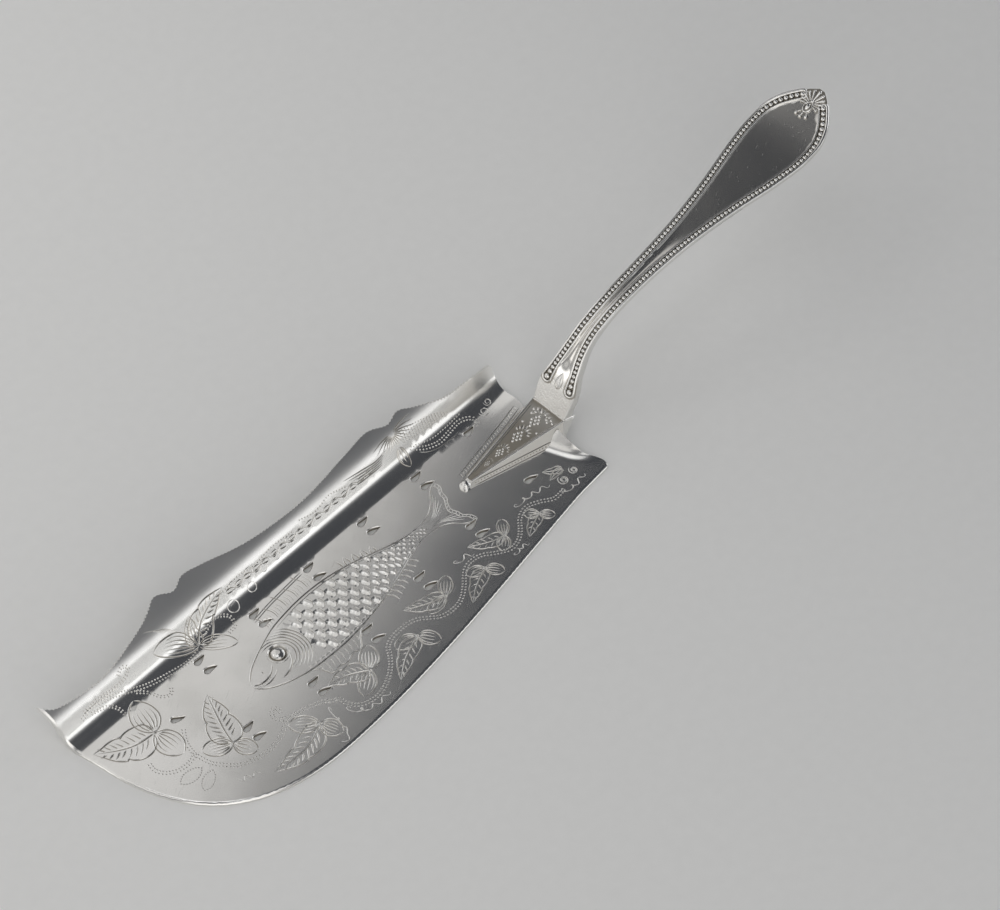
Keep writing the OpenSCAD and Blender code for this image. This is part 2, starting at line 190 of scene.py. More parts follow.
def depthAt(graver, flat):               # how deep each point is cut, and how dark it is painted: tarnish in cuts and pits, painted shade round the domes
    deep, dark = np.zeros(len(flat)), np.zeros(len(flat))
    order = np.argsort(flat[:, 0])
    xs = flat[order, 0]

    def near(low, high):
        ids = order[np.searchsorted(xs, low[0]):np.searchsorted(xs, high[0])]
        y = flat[ids, 1]
        return ids[(y >= low[1]) & (y <= high[1])]

    for line, left, right, depth in graver.cuts:
        for k in range(len(line) - 1):
            a, b = line[k], line[k + 1]
            reach = max(left[k:k + 2].max(), right[k:k + 2].max()) + 1e-3
            ids = near(np.minimum(a, b) - reach, np.maximum(a, b) + reach)
            if not len(ids):
                continue
            along = b - a
            t = np.clip(((flat[ids] - a) @ along) / (along @ along), 0, 1)
            off = flat[ids] - a - t[:, None] * along
            side = along[0] * off[:, 1] - along[1] * off[:, 0]
            half = np.where(side >= 0, left[k] + (left[k + 1] - left[k]) * t,
                            right[k] + (right[k + 1] - right[k]) * t)
            here = depth[k] + (depth[k + 1] - depth[k]) * t
            far = np.linalg.norm(off, axis=1) / np.maximum(half, 1e-6)
            share = np.where(half > 1e-3, np.clip(1 - far, 0, 1), 0)
            deep[ids] = np.maximum(deep[ids], here * share)
            tone = min(1, 0.3 / reach)                   # broad cuts stay brighter
            dark[ids] = np.maximum(dark[ids], tone * np.minimum(here / 0.16, 1) * share ** 2)
    for centre, radius, depth in graver.pits:
        ids = near(centre - radius, centre + radius)
        far = np.linalg.norm(flat[ids] - centre, axis=1)
        share = np.clip(1 - far / radius, 0, 1)
        deep[ids] = np.maximum(deep[ids], depth * share)
        dark[ids] = np.maximum(dark[ids], share)
    for line, profile in graver.bevels:
        ids = np.nonzero(nearest(flat, line) < profile[-1, 0] + 1)[0]
        drop = heightOn(profile, offLine(flat[ids], line))
        deep[ids] = np.maximum(deep[ids], drop)
    for centre, radius, rise, sink in graver.domes:
        ids = near(centre - radius * 1.3, centre + radius * 1.3)
        far = np.linalg.norm(flat[ids] - centre, axis=1) / radius
        ball = sink - rise * np.sqrt(np.clip(1 - far ** 2, 0, 1))
        ring = (1.28 - far) / 0.28
        deep[ids] = np.where(far < 1, ball, np.where(far < 1.28, sink * ring, deep[ids]))
        # painted shade: each ball's rim and its sunk ring darkened where the ball meets the sheet
        dark[ids] = np.where(far < 1, np.clip((far - 0.8) / 0.2, 0, 1), np.where(far < 1.28, ring, dark[ids]))
    return deep, dark


def offLine(points, line):               # distance to a line's segments
    best = np.full(len(points), 1e9)
    for a, b in zip(line, line[1:]):
        along = b - a
        t = np.clip(((points - a) @ along) / (along @ along), 0, 1)
        best = np.minimum(best, np.linalg.norm(points - a - t[:, None] * along, axis=1))
    return best


def normalsOf(place, flat):              # of the plain sheet that place() bends
    d = 0.03
    n = np.cross(place(flat + (d, 0)) - place(flat - (d, 0)), place(flat + (0, d)) - place(flat - (0, d)))
    return n / np.linalg.norm(n, axis=1)[:, None]


def flatNormals(verts, faces):
    f = np.asarray(faces)
    n = np.cross(verts[f[:, 1]] - verts[f[:, 0]], verts[f[:, 2]] - verts[f[:, 0]])
    return n / np.maximum(np.linalg.norm(n, axis=1), 1e-12)[:, None]


def creased(own, tris, crease):          # corner normals, soft across faces that meet at less than the crease
    corner = tris.reshape(-1)
    order = np.argsort(corner, kind="stable")
    spot, face = corner[order], order // 3
    soft = own[face].copy()
    for step in range(1, 16):
        same = np.nonzero(spot[step:] == spot[:-step])[0]
        a, b = face[same], face[same + step]
        near = (own[a] * own[b]).sum(1) > math.cos(math.radians(crease))
        same, a, b = same[near], a[near], b[near]
        soft[same] += own[b]                             # each place is listed once per step
        soft[same + step] += own[a]
    soft /= np.linalg.norm(soft, axis=1)[:, None]
    loops = np.empty_like(soft)
    loops[order] = soft
    return loops.reshape(-1, 3, 3)


def cutSheet(graver, outline, holes, grid, place, crease=16):    # a bent sheet with its cuts
    flat, tris, deep, dark = layOut(graver, outline, holes, grid)
    n = normalsOf(place, flat)
    verts = place(flat) - n * deep[:, None]
    own = flatNormals(verts, tris)
    plain = (np.abs(deep[tris]).max(1) < 1e-4) | ((own * n[tris].mean(1)).sum(1) > math.cos(math.radians(4)))
    loops = np.empty((len(tris), 3, 3))
    loops[~plain] = creased(own[~plain], tris[~plain], crease)   # cut faces are soft along the cut
    loops[plain] = n[tris[plain]]                        # plain ones follow the bend
    middle = flat[tris].mean(1)
    zones = [offLine(middle, line) < profile[-1, 0] for line, profile in graver.bevels]
    zones += [np.linalg.norm(middle - centre, axis=1) < radius for centre, radius, rise, sink in graver.domes]
    for zone in zones:                                   # bevels and domes are smooth
        near = ~plain & zone
        shared = np.zeros_like(verts)
        for k in range(3):
            np.add.at(shared, tris[near, k], own[near])
        shared /= np.maximum(np.linalg.norm(shared, axis=1), 1e-9)[:, None]
        loops[near] = shared[tris[near]]
    return flat, verts, tris, deep, dark, loops


def rimEdges(tris):                      # edges that only one triangle has, in its direction
    edges = np.vstack([tris[:, [0, 1]], tris[:, [1, 2]], tris[:, [2, 0]]])
    key = np.sort(edges, axis=1)
    _, first, count = np.unique(key, axis=0, return_index=True, return_counts=True)
    return edges[first[count == 1]]


# mesh objects
def meshObject(name, verts, faces, recess=None, normals=None, sharp=None, satin=None):
    mesh = bpy.data.meshes.new(name)
    faces = [tuple(int(i) for i in f) for f in faces]
    mesh.from_pydata([tuple(v) for v in np.asarray(verts) * mm], [], faces)
    mesh.validate()
    mesh.polygons.foreach_set("use_smooth", [True] * len(mesh.polygons))
    for label, values in (("recess", recess), ("satin", satin)):
        shade = mesh.attributes.new(label, "FLOAT", "POINT")
        shade.data.foreach_set("value", np.zeros(len(verts)) if values is None else np.asarray(values, float))
    if normals is not None:
        mesh.normals_split_custom_set([tuple(n) for n in normals])
    elif sharp is not None:
        mesh.set_sharp_from_angle(angle=math.radians(sharp))
    mesh.update()
    piece = bpy.data.objects.new(name, mesh)
    bpy.context.scene.collection.objects.link(piece)
    return piece


def gather(parts):                       # several (verts, faces, recess) as one
    verts, faces, recess, start = [], [], [], 0
    for v, f, r in parts:
        verts.append(v)
        faces += [tuple(i + start for i in face) for face in f]
        recess.append(np.full(len(v), r) if np.isscalar(r) else r)
        start += len(v)
    return np.vstack(verts), faces, np.concatenate(recess)


def dress(piece, material, node=None):     # finish, body and the solid that it stands for
    piece.data.materials.append(material)
    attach(piece, "root")
    if node:
        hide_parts(node)
    print("made", piece.name, len(piece.data.polygons), "faces")
    return piece


# shader maths
class Wire:                              # a socket that takes part in sums
    def __init__(self, graph, socket):
        self.graph, self.socket = graph, socket

    def sum(self, operation, a, b):
        return self.graph.add("ShaderNodeMath", {"operation": operation}, {0: a, 1: b})

    def __add__(self, other):
        return self.sum("ADD", self, other)

    def __sub__(self, other):
        return self.sum("SUBTRACT", self, other)

    def __rsub__(self, other):
        return self.sum("SUBTRACT", other, self)

    def __mul__(self, other):
        return self.sum("MULTIPLY", self, other)

    __radd__, __rmul__ = __add__, __mul__


class Graph:                             # the nodes of one material or of the world
    def __init__(self, owner):
        owner.use_nodes = True
        self.tree = owner.node_tree
        self.tree.nodes.clear()

    def add(self, kind, settings={}, sockets={}, out=0):
        node = self.tree.nodes.new(kind)
        for name, value in settings.items():
            if name == "stops":
                ramp = node.color_ramp.elements
                while len(ramp) < len(value):
                    ramp.new(1)
                for element, (at, colour) in zip(ramp, value):
                    element.position, element.color = at, colour
            else:
                setattr(node, name, value)
        for name, value in sockets.items():
            if isinstance(value, Wire):
                self.tree.links.new(value.socket, node.inputs[name])
            else:
                node.inputs[name].default_value = value
        return Wire(self, node.outputs[out]) if node.outputs else node


# silver: bright where it was rubbed, dull and warm where the cloth never reached; the same mix to the deep
# colour also paints shade into feet, joins and hollows
def silver(name, look):
    material = bpy.data.materials.new(name)
    g = Graph(material)
    place = g.add("ShaderNodeTexCoord", out="Object")
    recess = g.add("ShaderNodeAttribute", {"attribute_name": "recess"}, out="Fac")
    satin = g.add("ShaderNodeAttribute", {"attribute_name": "satin"}, out="Fac")
    cloud = g.add("ShaderNodeTexNoise", {}, {"Vector": place, "Scale": look["cloudScale"], "Detail": 4.0})
    grain = g.add("ShaderNodeTexNoise", {}, {"Vector": place, "Scale": look["grainScale"], "Detail": 2.0})
    rubbed = g.add("ShaderNodeMapping", {"vector_type": "TEXTURE"},
                   {"Vector": place, "Rotation": (0, 0, look["rubTurn"]), "Scale": (22.0, 1.0, 1.0)})
    streak = g.add("ShaderNodeTexNoise", {}, {"Vector": rubbed, "Scale": look["streakScale"], "Detail": 3.0})
    scratch = g.add("ShaderNodeMapRange", {}, {"Value": streak, 1: 0.66, 2: 0.74, 3: 0.0, 4: 1.0})
    bloom = g.add("ShaderNodeMapRange", {}, {"Value": cloud, 1: 0.4, 2: 0.7, 3: 0.0, 4: 1.0})
    clean = g.add("ShaderNodeMix", {"data_type": "RGBA"},
                  {"Factor": bloom * look["bloom"], 6: look["bright"], 7: look["dull"]}, out=2)
    # mixing to the deep colour by recess: tarnish in cuts and pits, painted shade elsewhere that recess marks
    colour = g.add("ShaderNodeMix", {"data_type": "RGBA"},
                   {"Factor": recess * look["tarnish"], 6: clean, 7: look["deep"]}, out=2)
    rough = look["rough"] + bloom * look["bloomRough"] + scratch * look["wear"] * look["wearRough"]
    rough = rough + recess * look["tarnish"] * look["deepRough"] + satin * look["satinRough"]
    spots = g.add("ShaderNodeTexNoise", {}, {"Vector": place, "Scale": look["spotScale"], "Detail": 1.0})
    pits = g.add("ShaderNodeMapRange", {}, {"Value": spots, 1: 0.5, 2: 0.66, 3: 0.0, 4: 1.0})
    height = grain * look["grainHeight"] + scratch * (-1.0 * look["wear"]) + cloud * look["cloudHeight"]
    height = height + pits * satin * (-1.0 * look["pitting"])
    bump = g.add("ShaderNodeBump", {}, {"Strength": look["bump"], "Distance": 0.00002, "Height": height})
    shader = g.add("ShaderNodeBsdfPrincipled", {},
                   {"Base Color": colour, "Metallic": 1.0, "Roughness": rough, "Normal": bump})
    g.add("ShaderNodeOutputMaterial", {}, {"Surface": shader})
    return material


finish = {
    "bright": (0.90, 0.89, 0.87, 1), "dull": (0.74, 0.73, 0.70, 1), "deep": (0.27, 0.24, 0.19, 1),
    "rough": 0.17, "bloom": 0.5, "tarnish": 0.55, "wear": 0.5, "bump": 0.25, "pitting": 0.0,
    "cloudScale": 38.0, "grainScale": 2600.0, "streakScale": 3400.0, "spotScale": 1500.0, "rubTurn": 0.5,
    "bloomRough": 0.05, "wearRough": 0.1, "deepRough": 0.22, "satinRough": 0.22,
    "grainHeight": 0.25, "cloudHeight": 0.6,
}
bladeSilver = silver("rubbed_silver", finish | {"tarnish": 0.85})
tongueSilver = silver("shoulder_silver", finish | {"rough": 0.2, "tarnish": 0.85, "bloom": 0.8, "wear": 0.9})
handleSilver = silver("handle_silver", finish | {"rough": 0.14, "tarnish": 0.9, "wear": 0.7, "pitting": 14.0})
beadSilver = silver("bead_silver", finish | {"rough": 0.12, "tarnish": 0.95, "wear": 0.2, "bloom": 0.3})
print("silver finishes ready")


# blade: one bent sheet, its layout flat as (x, s) with s along the section across the blade
blade = {
    "length": 172.0, "sheet": 1.1, "heelX": 16.3, "heelReach": 23.6, "edgeReach": 37.3,
    "foldReach": 15.5, "foldRadius": 6.5, "lipAngle": 60.0, "lipStraight": 4.0,
    "flareRadius": 11.1, "flareAngle": 25.0, "lipY": 26.4, "hornY": 29.6, "lipHeelY": 23.2,
    "tipEar": 5.6, "heelEar": 2.9, "earNotch": 2.0, "heelBendX": 7.07,
    "rightBendX": 8.2, "rightFrom": 5.5, "rightSlant": 0.4, "rightRadius": 7.0, "rightAngle": 42.0,
    "rightEnd": 21.0, "rightFade": 9.5, "leftBendX": 4.0, "leftRadius": 100.0, "sideBlend": 4.0,
    "tabHalf": 4.6, "tabFade": 1.6, "mill": 0.15, "millPitch": 1.15,
    "bevel": ((0, 0.66), (0.14, 0.36), (0.4, 0.13), (0.9, 0)), "worn": ((0, 0.24), (0.1, 0.1), (0.26, 0)),
    "satin": 0.6, "satinFrom": 25.5, "frost": 1.5, "frostAt": (-75.0, -8.0), "frostFade": (60.0, 18.0),
}
foldAngle = math.radians(blade["lipAngle"])
flareAngle = math.radians(blade["flareAngle"])


def lipSection(s):                       # height and reach of the sheet's top across the blade
    b = blade
    fold, straight = b["foldRadius"] * foldAngle, b["lipStraight"]
    flare = b["flareRadius"] * (foldAngle - flareAngle)
    past = np.asarray(s, float) - b["foldReach"]
    turn = np.clip(past / b["foldRadius"], 0, foldAngle)
    up = np.clip(past - fold, 0, straight)
    back = foldAngle - np.clip((past - fold - straight) / b["flareRadius"], 0, foldAngle - flareAngle)
    on = np.maximum(past - fold - straight - flare, 0)
    y = b["foldReach"] + np.minimum(past, 0) + b["foldRadius"] * np.sin(turn) + up * math.cos(foldAngle)
    y += b["flareRadius"] * (math.sin(foldAngle) - np.sin(back)) + on * math.cos(flareAngle)
    z = b["foldRadius"] * (1 - np.cos(turn)) + up * math.sin(foldAngle)
    z += b["flareRadius"] * (np.cos(back) - math.cos(foldAngle)) + on * math.sin(flareAngle)
    return y, z


sTable = np.linspace(-50, 60, 4401)
yTable = lipSection(sTable)[0]


def unfolded(points):                    # plan (x, y) to layout (x, s)
    p = np.asarray(points, float)
    return np.column_stack([p[:, 0], np.interp(p[:, 1], yTable, sTable)])


def heelRise(x, y):                      # the turned-up heel: tight on the right, nearly flat on the left
    def bend(start, radius, angle):
        run = np.maximum(x - start, 0)
        arc = np.minimum(run, radius * math.sin(angle))
        return radius - np.sqrt(radius ** 2 - arc ** 2) + (run - arc) * math.tan(angle)

    b = blade
    start = b["rightBendX"] + b["rightSlant"] * np.maximum(-y - b["rightFrom"], 0)
    right = bend(start, b["rightRadius"], math.radians(b["rightAngle"]))
    right *= ease((y + b["rightEnd"]) / b["rightFade"])                  # runs out towards the corner
    left = bend(b["leftBendX"], b["leftRadius"], 1.0)
    side = ease((y + b["sideBlend"]) / (2 * b["sideBlend"]))
    return (right * (1 - side) + left * side) * ease((np.abs(y) - b["tabHalf"]) / b["tabFade"])


def onBlade(flat):                       # layout to the bent sheet's top
    y, lip = lipSection(flat[:, 1])
    past = flat[:, 1] - blade["foldReach"]
    heel = heelRise(flat[:, 0], y) * (1 - ease((past + 3.5) / 10))       # gone where the lip stands
    return np.column_stack([flat[:, 0], y, lip + heel + blade["sheet"]])


def bladeX(f):                           # place along the blade, heel to tip
    return blade["heelX"] - blade["length"] * f


def bladeOutline():                      # plan outline: cutting edge, tip, lip, heel
    b = blade
    edge, fold, y, ear = b["edgeReach"], b["foldReach"], b["lipY"], b["tipEar"]
    corner = [(19.2, -23.7), (b["heelBendX"], -b["heelReach"] - 1.1)]
    front = bezier(corner[1], (bladeX(0.23), -29.0), (bladeX(0.49), -edge), (bladeX(0.69), -edge), 60)
    tip = bezier(front[-1], (bladeX(0.915), -edge), (bladeX(0.985), -0.43 * edge),
                 (bladeX(0.999), 0.65 * fold), 60)
    horn = bezier(tip[-1], (bladeX(1.004), fold), (bladeX(1.01), fold + 5), (bladeX(1.019), b["hornY"]), 24)
    lip = smooth([(bladeX(f), v) for f, v in [
        (1.019, b["hornY"]), (0.997, y), (0.94, y - 1.4), (0.88, y - 1.4), (0.8, y + 0.24 * ear),
        (0.765, y + 0.6 * ear), (0.735, y + ear), (0.702, y + ear - b["earNotch"]), (0.672, y + ear - 0.3),
        (0.63, y + 0.75 * ear), (0.54, y + 0.18 * ear), (0.42, y), (0.31, y + 0.65 * b["heelEar"]),
        (0.25, y + b["heelEar"]), (0.211, y + b["heelEar"] - b["earNotch"]), (0.18, y + b["heelEar"] - 0.9),
        (0.15, y), (0.095, b["lipHeelY"] + 0.5), (0.03, b["lipHeelY"])]], 12)
    heel = np.vstack([[(bladeX(0.03), b["lipHeelY"])],
                      smooth([(18.9, 22.9), (18.3, 19.6), (17.9, 16.5), (17.9, 10), (16.6, 7.4), (16.3, 4),
                              (16.3, -8), (16.3, -11), (16.7, -14), (17.4, -16.5), (18.6, -18.4),
                              (19.6, -20.3), (19.8, -22), (19.2, -23.7)], 6)])
    front = evenly(np.vstack([corner[:1], front, tip[1:], horn[1:]]), 0.9)
    lip = evenly(lip, b["millPitch"] / 2)
    lip[1:-1] += leftOf(lip)[1:-1] * b["mill"] * ((-1) ** np.arange(len(lip) - 2))[:, None]
    heel = evenly(heel, 0.9)
    return front, lip, heel


comma = {"length": 4.4, "head": 0.95, "bend": 0.7, "pairGap": 4.1, "backPitch": 22.2, "edgePitch": 23.5,
         "backRow": 13.9, "edgeRow": 9.5, "spread": 5.3, "firstX": 1.0, "tipSingle": (-128.7, 3.8),
         "tipTurn": -35}


def commaLoop(centre, side, turn=0.0):   # a pierced comma, its tail towards the heel
    head, reach = comma["head"], comma["length"] - comma["head"]
    t = np.linspace(0, 1, 9)[1:]
    lean = side * comma["bend"] * t * t
    half = head * (1 - t) * (1 + 0.5 * t)
    cheek = np.radians(np.linspace(270, 90, 9))
    ring = np.vstack([np.column_stack([head * np.cos(cheek), head * np.sin(cheek)]),
                      np.column_stack([reach * t, lean + half]),
                      np.column_stack([reach * t, lean - half])[-2::-1]])
    ring[:, 0] -= reach / 2
    a = math.radians(turn)
    return np.array(centre) + ring @ np.array([[math.cos(a), math.sin(a)], [-math.sin(a), math.cos(a)]])


def piercings():
    c = comma
    loops = [commaLoop((c["firstX"], c["backRow"]), 1), commaLoop((c["firstX"], -c["edgeRow"] - 1), -1),
             commaLoop(c["tipSingle"], 1, c["tipTurn"])]
    for k, share in enumerate((0, 0.36, 0.72, 1, 0.51), 1):
        backX, edgeX = c["firstX"] - c["backPitch"] * k, c["firstX"] - c["edgePitch"] * k
        edgeY = -c["edgeRow"] - c["spread"] * share
        loops += [commaLoop((backX, c["backRow"]), 1), commaLoop((backX, c["backRow"] - c["pairGap"]), -1)]
        loops += [commaLoop((edgeX, edgeY), 1), commaLoop((edgeX, edgeY - c["pairGap"]), -1)]
    return loops


# ornament: leaves
class Leaf:                              # a leaf's own axes, from root to tip on a bowed rib
    def __init__(self, root, tip, half, bow=0.0):
        self.root, self.half, self.bow = np.array(root, float), half, bow
        along = np.array(tip, float) - self.root
        self.length = np.linalg.norm(along)
        self.u = along / self.length
        self.v = np.array([-self.u[1], self.u[0]])

    def at(self, a, c):                  # a: share of the length, c: share of the half width
        return self.root + self.u * self.length * a + self.v * (self.bow * 4 * a * (1 - a) + c * self.half)

    def line(self, pairs, steps=5):
        return smooth([self.at(a, c) for a, c in pairs], steps)


longSide = ((0.03, 0), (0.05, 0.55), (0.17, 0.95), (0.34, 1.0), (0.47, 0.86), (0.53, 0.68),
            (0.58, 0.78), (0.72, 0.62), (0.86, 0.3), (1, 0))
roundSide = ((0, 0), (0.1, 0.5), (0.3, 0.92), (0.55, 1.0), (0.8, 0.72), (0.93, 0.34), (1, 0))


def longLeaf(g, root, tip, half, bow=0.0, ribs=7):
    leaf = Leaf(root, tip, half, bow)
    fine = min(1, max(0.62, half / 4))
    g.cut(leaf.line([(0, 0), (0.3, 0.02), (0.6, -0.02), (1, 0)]), 0.62 * fine, 0.2, (0.1, 0.5))
    for side in (1, -1):
        g.cut(leaf.line([(a, c * side) for a, c in longSide]), 0.58 * fine, 0.19, (0.12, 0.2))
        for a in np.linspace(0.14, 0.8, ribs):
            reach = np.interp(a, [p[0] for p in longSide[1:]], [p[1] for p in longSide[1:]])
            g.cut(leaf.line([(a, 0.1 * side), (a + 0.05, 0.42 * reach * side),
                             (a + 0.12, 0.74 * reach * side)], 2),
                  0.7 * fine, 0.19, (0.15, 0.7))


def roundLeaf(g, root, tip, half, bow=0.0, ribs=4):
    leaf = Leaf(root, tip, half, bow)
    fine = min(1, max(0.62, half / 3.4))
    for side in (1, -1):
        g.cut(leaf.line([(a, c * side) for a, c in roundSide]), 0.58 * fine, 0.19, (0.12, 0.12))
    for c in np.linspace(-0.72, 0.72, ribs):
        g.cut(leaf.line([(0.08, 0.3 * c), (0.28, 0.82 * c), (0.52, 0.98 * c),
                         (0.78 - 0.1 * abs(c), 0.8 * c)], 3),
              0.66 * fine, 0.19, (0.1, 0.75))


def spray(g, root, tall, left, right):   # one long leaf, two round ones and a bud
    longLeaf(g, root, *tall)
    for tip, half in (left, right):
        roundLeaf(g, root, tip, half, ribs=5 if half > 2.7 else 4)
    g.pit([root], 0.55, 0.22)


sprays = [
    ((-136.6, 5.6), ((-154, 13), 5.4, 1.8, 8), ((-133.6, 17.6), 4.1), ((-136.2, -5.3), 4.0)),
    ((-124.2, -13), ((-117.6, 4.4), 4.8, 0.4, 8), ((-132.2, -8.4), 2.9), ((-120.8, -19.6), 2.7)),
    ((-102.6, -26), ((-123, -28.3), 3.8, 2.0, 8), ((-109.3, -19.8), 2.9), ((-100, -32.8), 2.9)),
    ((-79.8, -23.6), ((-92, -18.7), 3.3, -1.0, 6), ((-87.4, -28.6), 2.6), ((-74, -17), 2.8)),
    ((-62, -25), ((-76.3, -32.3), 2.9, -0.8, 6), ((-69.6, -23.6), 2.4), ((-58.2, -31), 2.4)),
    ((-46.5, -21.3), ((-58.6, -16), 2.7, 0.6, 6), ((-54.2, -22.3), 2.0), ((-41.2, -16.4), 2.1)),
    ((-31.6, -22.8), ((-43, -28.8), 2.5, -0.6, 5), ((-37.2, -20.6), 1.9), ((-28.3, -27.6), 2.0)),
    ((-19.5, -19), ((-30, -14), 2.3, 0.6, 5), ((-23.8, -22.6), 2.0), ((-15.9, -14.3), 1.8)),
    ((-7, -21), ((-15, -24.6), 1.9, -0.4, 4), ((-10.2, -17.8), 1.7), ((-4, -24.6), 1.6)),
]


# ornament: vine, curls and squiggles
def curl(centre, radius, start, turns, steps=22):    # a line that winds in on itself, angles in degrees
    t = np.linspace(0, 1, steps)
    a = np.radians(start) + t * turns * 2 * math.pi
    return np.array(centre) + (radius * (1 - 0.75 * t))[:, None] * np.column_stack([np.cos(a), np.sin(a)])


def squiggle(points, swing, waves):      # a line that starts with loops and ends in waves
    line = smooth(points)
    line = evenly(line, runAlong(line)[-1] / (24 * waves))
    t = np.linspace(0, waves * 2 * math.pi, len(line))
    n = leftOf(line)
    along = np.column_stack([n[:, 1], -n[:, 0]])
    pace = runAlong(line)[-1] / t[-1]
    loop = pace * 2.4 * np.clip(1.3 - 2.0 * t / t[-1], 0, 1)
    return line + n * (swing * 0.75 * np.sin(t))[:, None] + along * (loop * np.cos(t))[:, None]


def vine(g):
    g.dotted(smooth([(4, -20.2), (0, -20.4), (-4, -18), (-8, -16.6), (-12, -18), (-15, -21), (-18, -23),
                     (-21.5, -23.6), (-25.5, -21.5), (-29, -19), (-33, -18.2), (-36.5, -19.4), (-40, -22.5),
                     (-43, -24.7), (-46, -25.9), (-50, -26), (-53, -25), (-56, -22.5), (-58.5, -20.8),
                     (-62.5, -20), (-67, -20.2), (-70.5, -21.6), (-72.2, -24), (-75, -27), (-79, -29.6),
                     (-83, -31), (-87, -31), (-90.5, -29.5), (-92.4, -26.5), (-93, -24), (-95.5, -22.6)]))
    g.dotted(smooth([(-94, -24), (-96, -21.8), (-100, -20), (-105, -18.8), (-110, -19.6), (-114, -21.2),
                     (-119, -22), (-124, -21), (-128, -19.4), (-131, -16.4), (-133.2, -13), (-134, -9.4),
                     (-134.2, -7.2), (-133, -3), (-130.6, 0.4)]))
    g.dotted(smooth([(-134.2, -7.6), (-137, -8.6), (-141, -8.3), (-144.2, -6.4), (-145.8, -3.6),
                     (-145.4, -1)]))
    g.dotted(smooth([(-105, -18.6), (-108.5, -17.6), (-110.2, -15.4), (-109, -13.2), (-107.4, -13.4),
                     (-107.6, -15.2)]))
    for loop in (((-144, -12), (-136.2, -12.4), 1.9), ((-141, -18.3), (-134.6, -15.2), 1.7)):
        leaf = Leaf(*loop)
        for side in (1, -1):
            g.dotted(leaf.line([(a, c * side) for a, c in roundSide]), 0.8, rows=1, radius=0.26)
    g.cut(smooth([(-132, -22), (-131, -24), (-129.6, -23), (-128.4, -25), (-127, -24.2), (-125.8, -26)]),
          0.28, 0.08, gap=0.2)
    for points, swing, waves, width, depth in (
            ([(-37, -15.6), (-33, -15.8), (-30, -17)], 1.0, 2, 0.34, 0.1),
            ([(-10.4, -14.4), (-5, -14.4), (2.6, -16)], 0.9, 4, 0.36, 0.11),
            ([(3, -20.2), (7, -21.4), (12.5, -20.6)], 0.9, 3, 0.34, 0.1),
            ([(-94, -27.5), (-91, -31.4), (-86, -33), (-81, -32.6)], 0.9, 4, 0.34, 0.1),
            ([(-22.6, -26), (-19, -25.4), (-16.6, -26)], 0.7, 3, 0.3, 0.09),
            ([(-97, -23.5), (-99.5, -34.4), (-104, -35)], 0.5, 4, 0.3, 0.09)):
        g.cut(squiggle(points, swing, waves), width, depth, gap=0.2)
    for centre, radius in (((6.6, -17.8), 1.8), ((11.2, -17.4), 1.5)):
        g.cut(curl(centre, radius, 90, 1.6), 0.34, 0.11, gap=0.35)
        g.cut(curl(centre, radius * 0.55, 200, 1.2), 0.3, 0.1, gap=0.2)
    longLeaf(g, (9.4, -14.8), (4.2, -11.4), 1.3, 0.3, 4)    # a sprig at the foot of the turned-up heel
    longLeaf(g, (9.4, -14.8), (3.6, -15.2), 1.1, -0.3, 4)


# ornament: the fish
fish = {
    "back": [(-106.9, -3), (-105.2, -0.9), (-102.2, 1.4), (-98, 3.4), (-93.4, 5.2), (-89, 6.6), (-84, 7.5),
             (-77, 8.2), (-70, 8.2), (-64, 7.6), (-57, 6.2), (-50, 4.2), (-44, 2.4), (-39, 1.3), (-34, 1.1)],
    "belly": [(-106.9, -3), (-106.5, -4.6), (-104.6, -6.6), (-101, -8.6), (-96.6, -10.2), (-91, -11.4),
              (-84, -11.9), (-77, -11.9), (-70, -11.2), (-63, -10), (-56, -8.4), (-49, -6.4), (-43, -4.4),
              (-38, -3), (-34, -2.7)],
    "tailTop": [(-34, 1.1), (-29.5, 2), (-26, 4.2), (-23.4, 7), (-20.4, 8.9)],
    "tailEnd": [(-20.4, 8.9), (-19.6, 6.6), (-20.8, 4.6), (-21.2, 2.4), (-22.6, 0.6), (-23.4, -1.6),
                (-22.6, -3.4), (-22.4, -5.2), (-20.8, -6.8), (-20.3, -9.3)],
    "tailFoot": [(-34, -2.7), (-30, -3.4), (-26.6, -5.2), (-24, -8), (-20.3, -9.3)],
    "eye": (-93.6, -0.4), "eyeRadius": 2.3, "gill": (-94.6, -1.6), "scalePitch": 2.43, "scaleRow": 4.83,
}


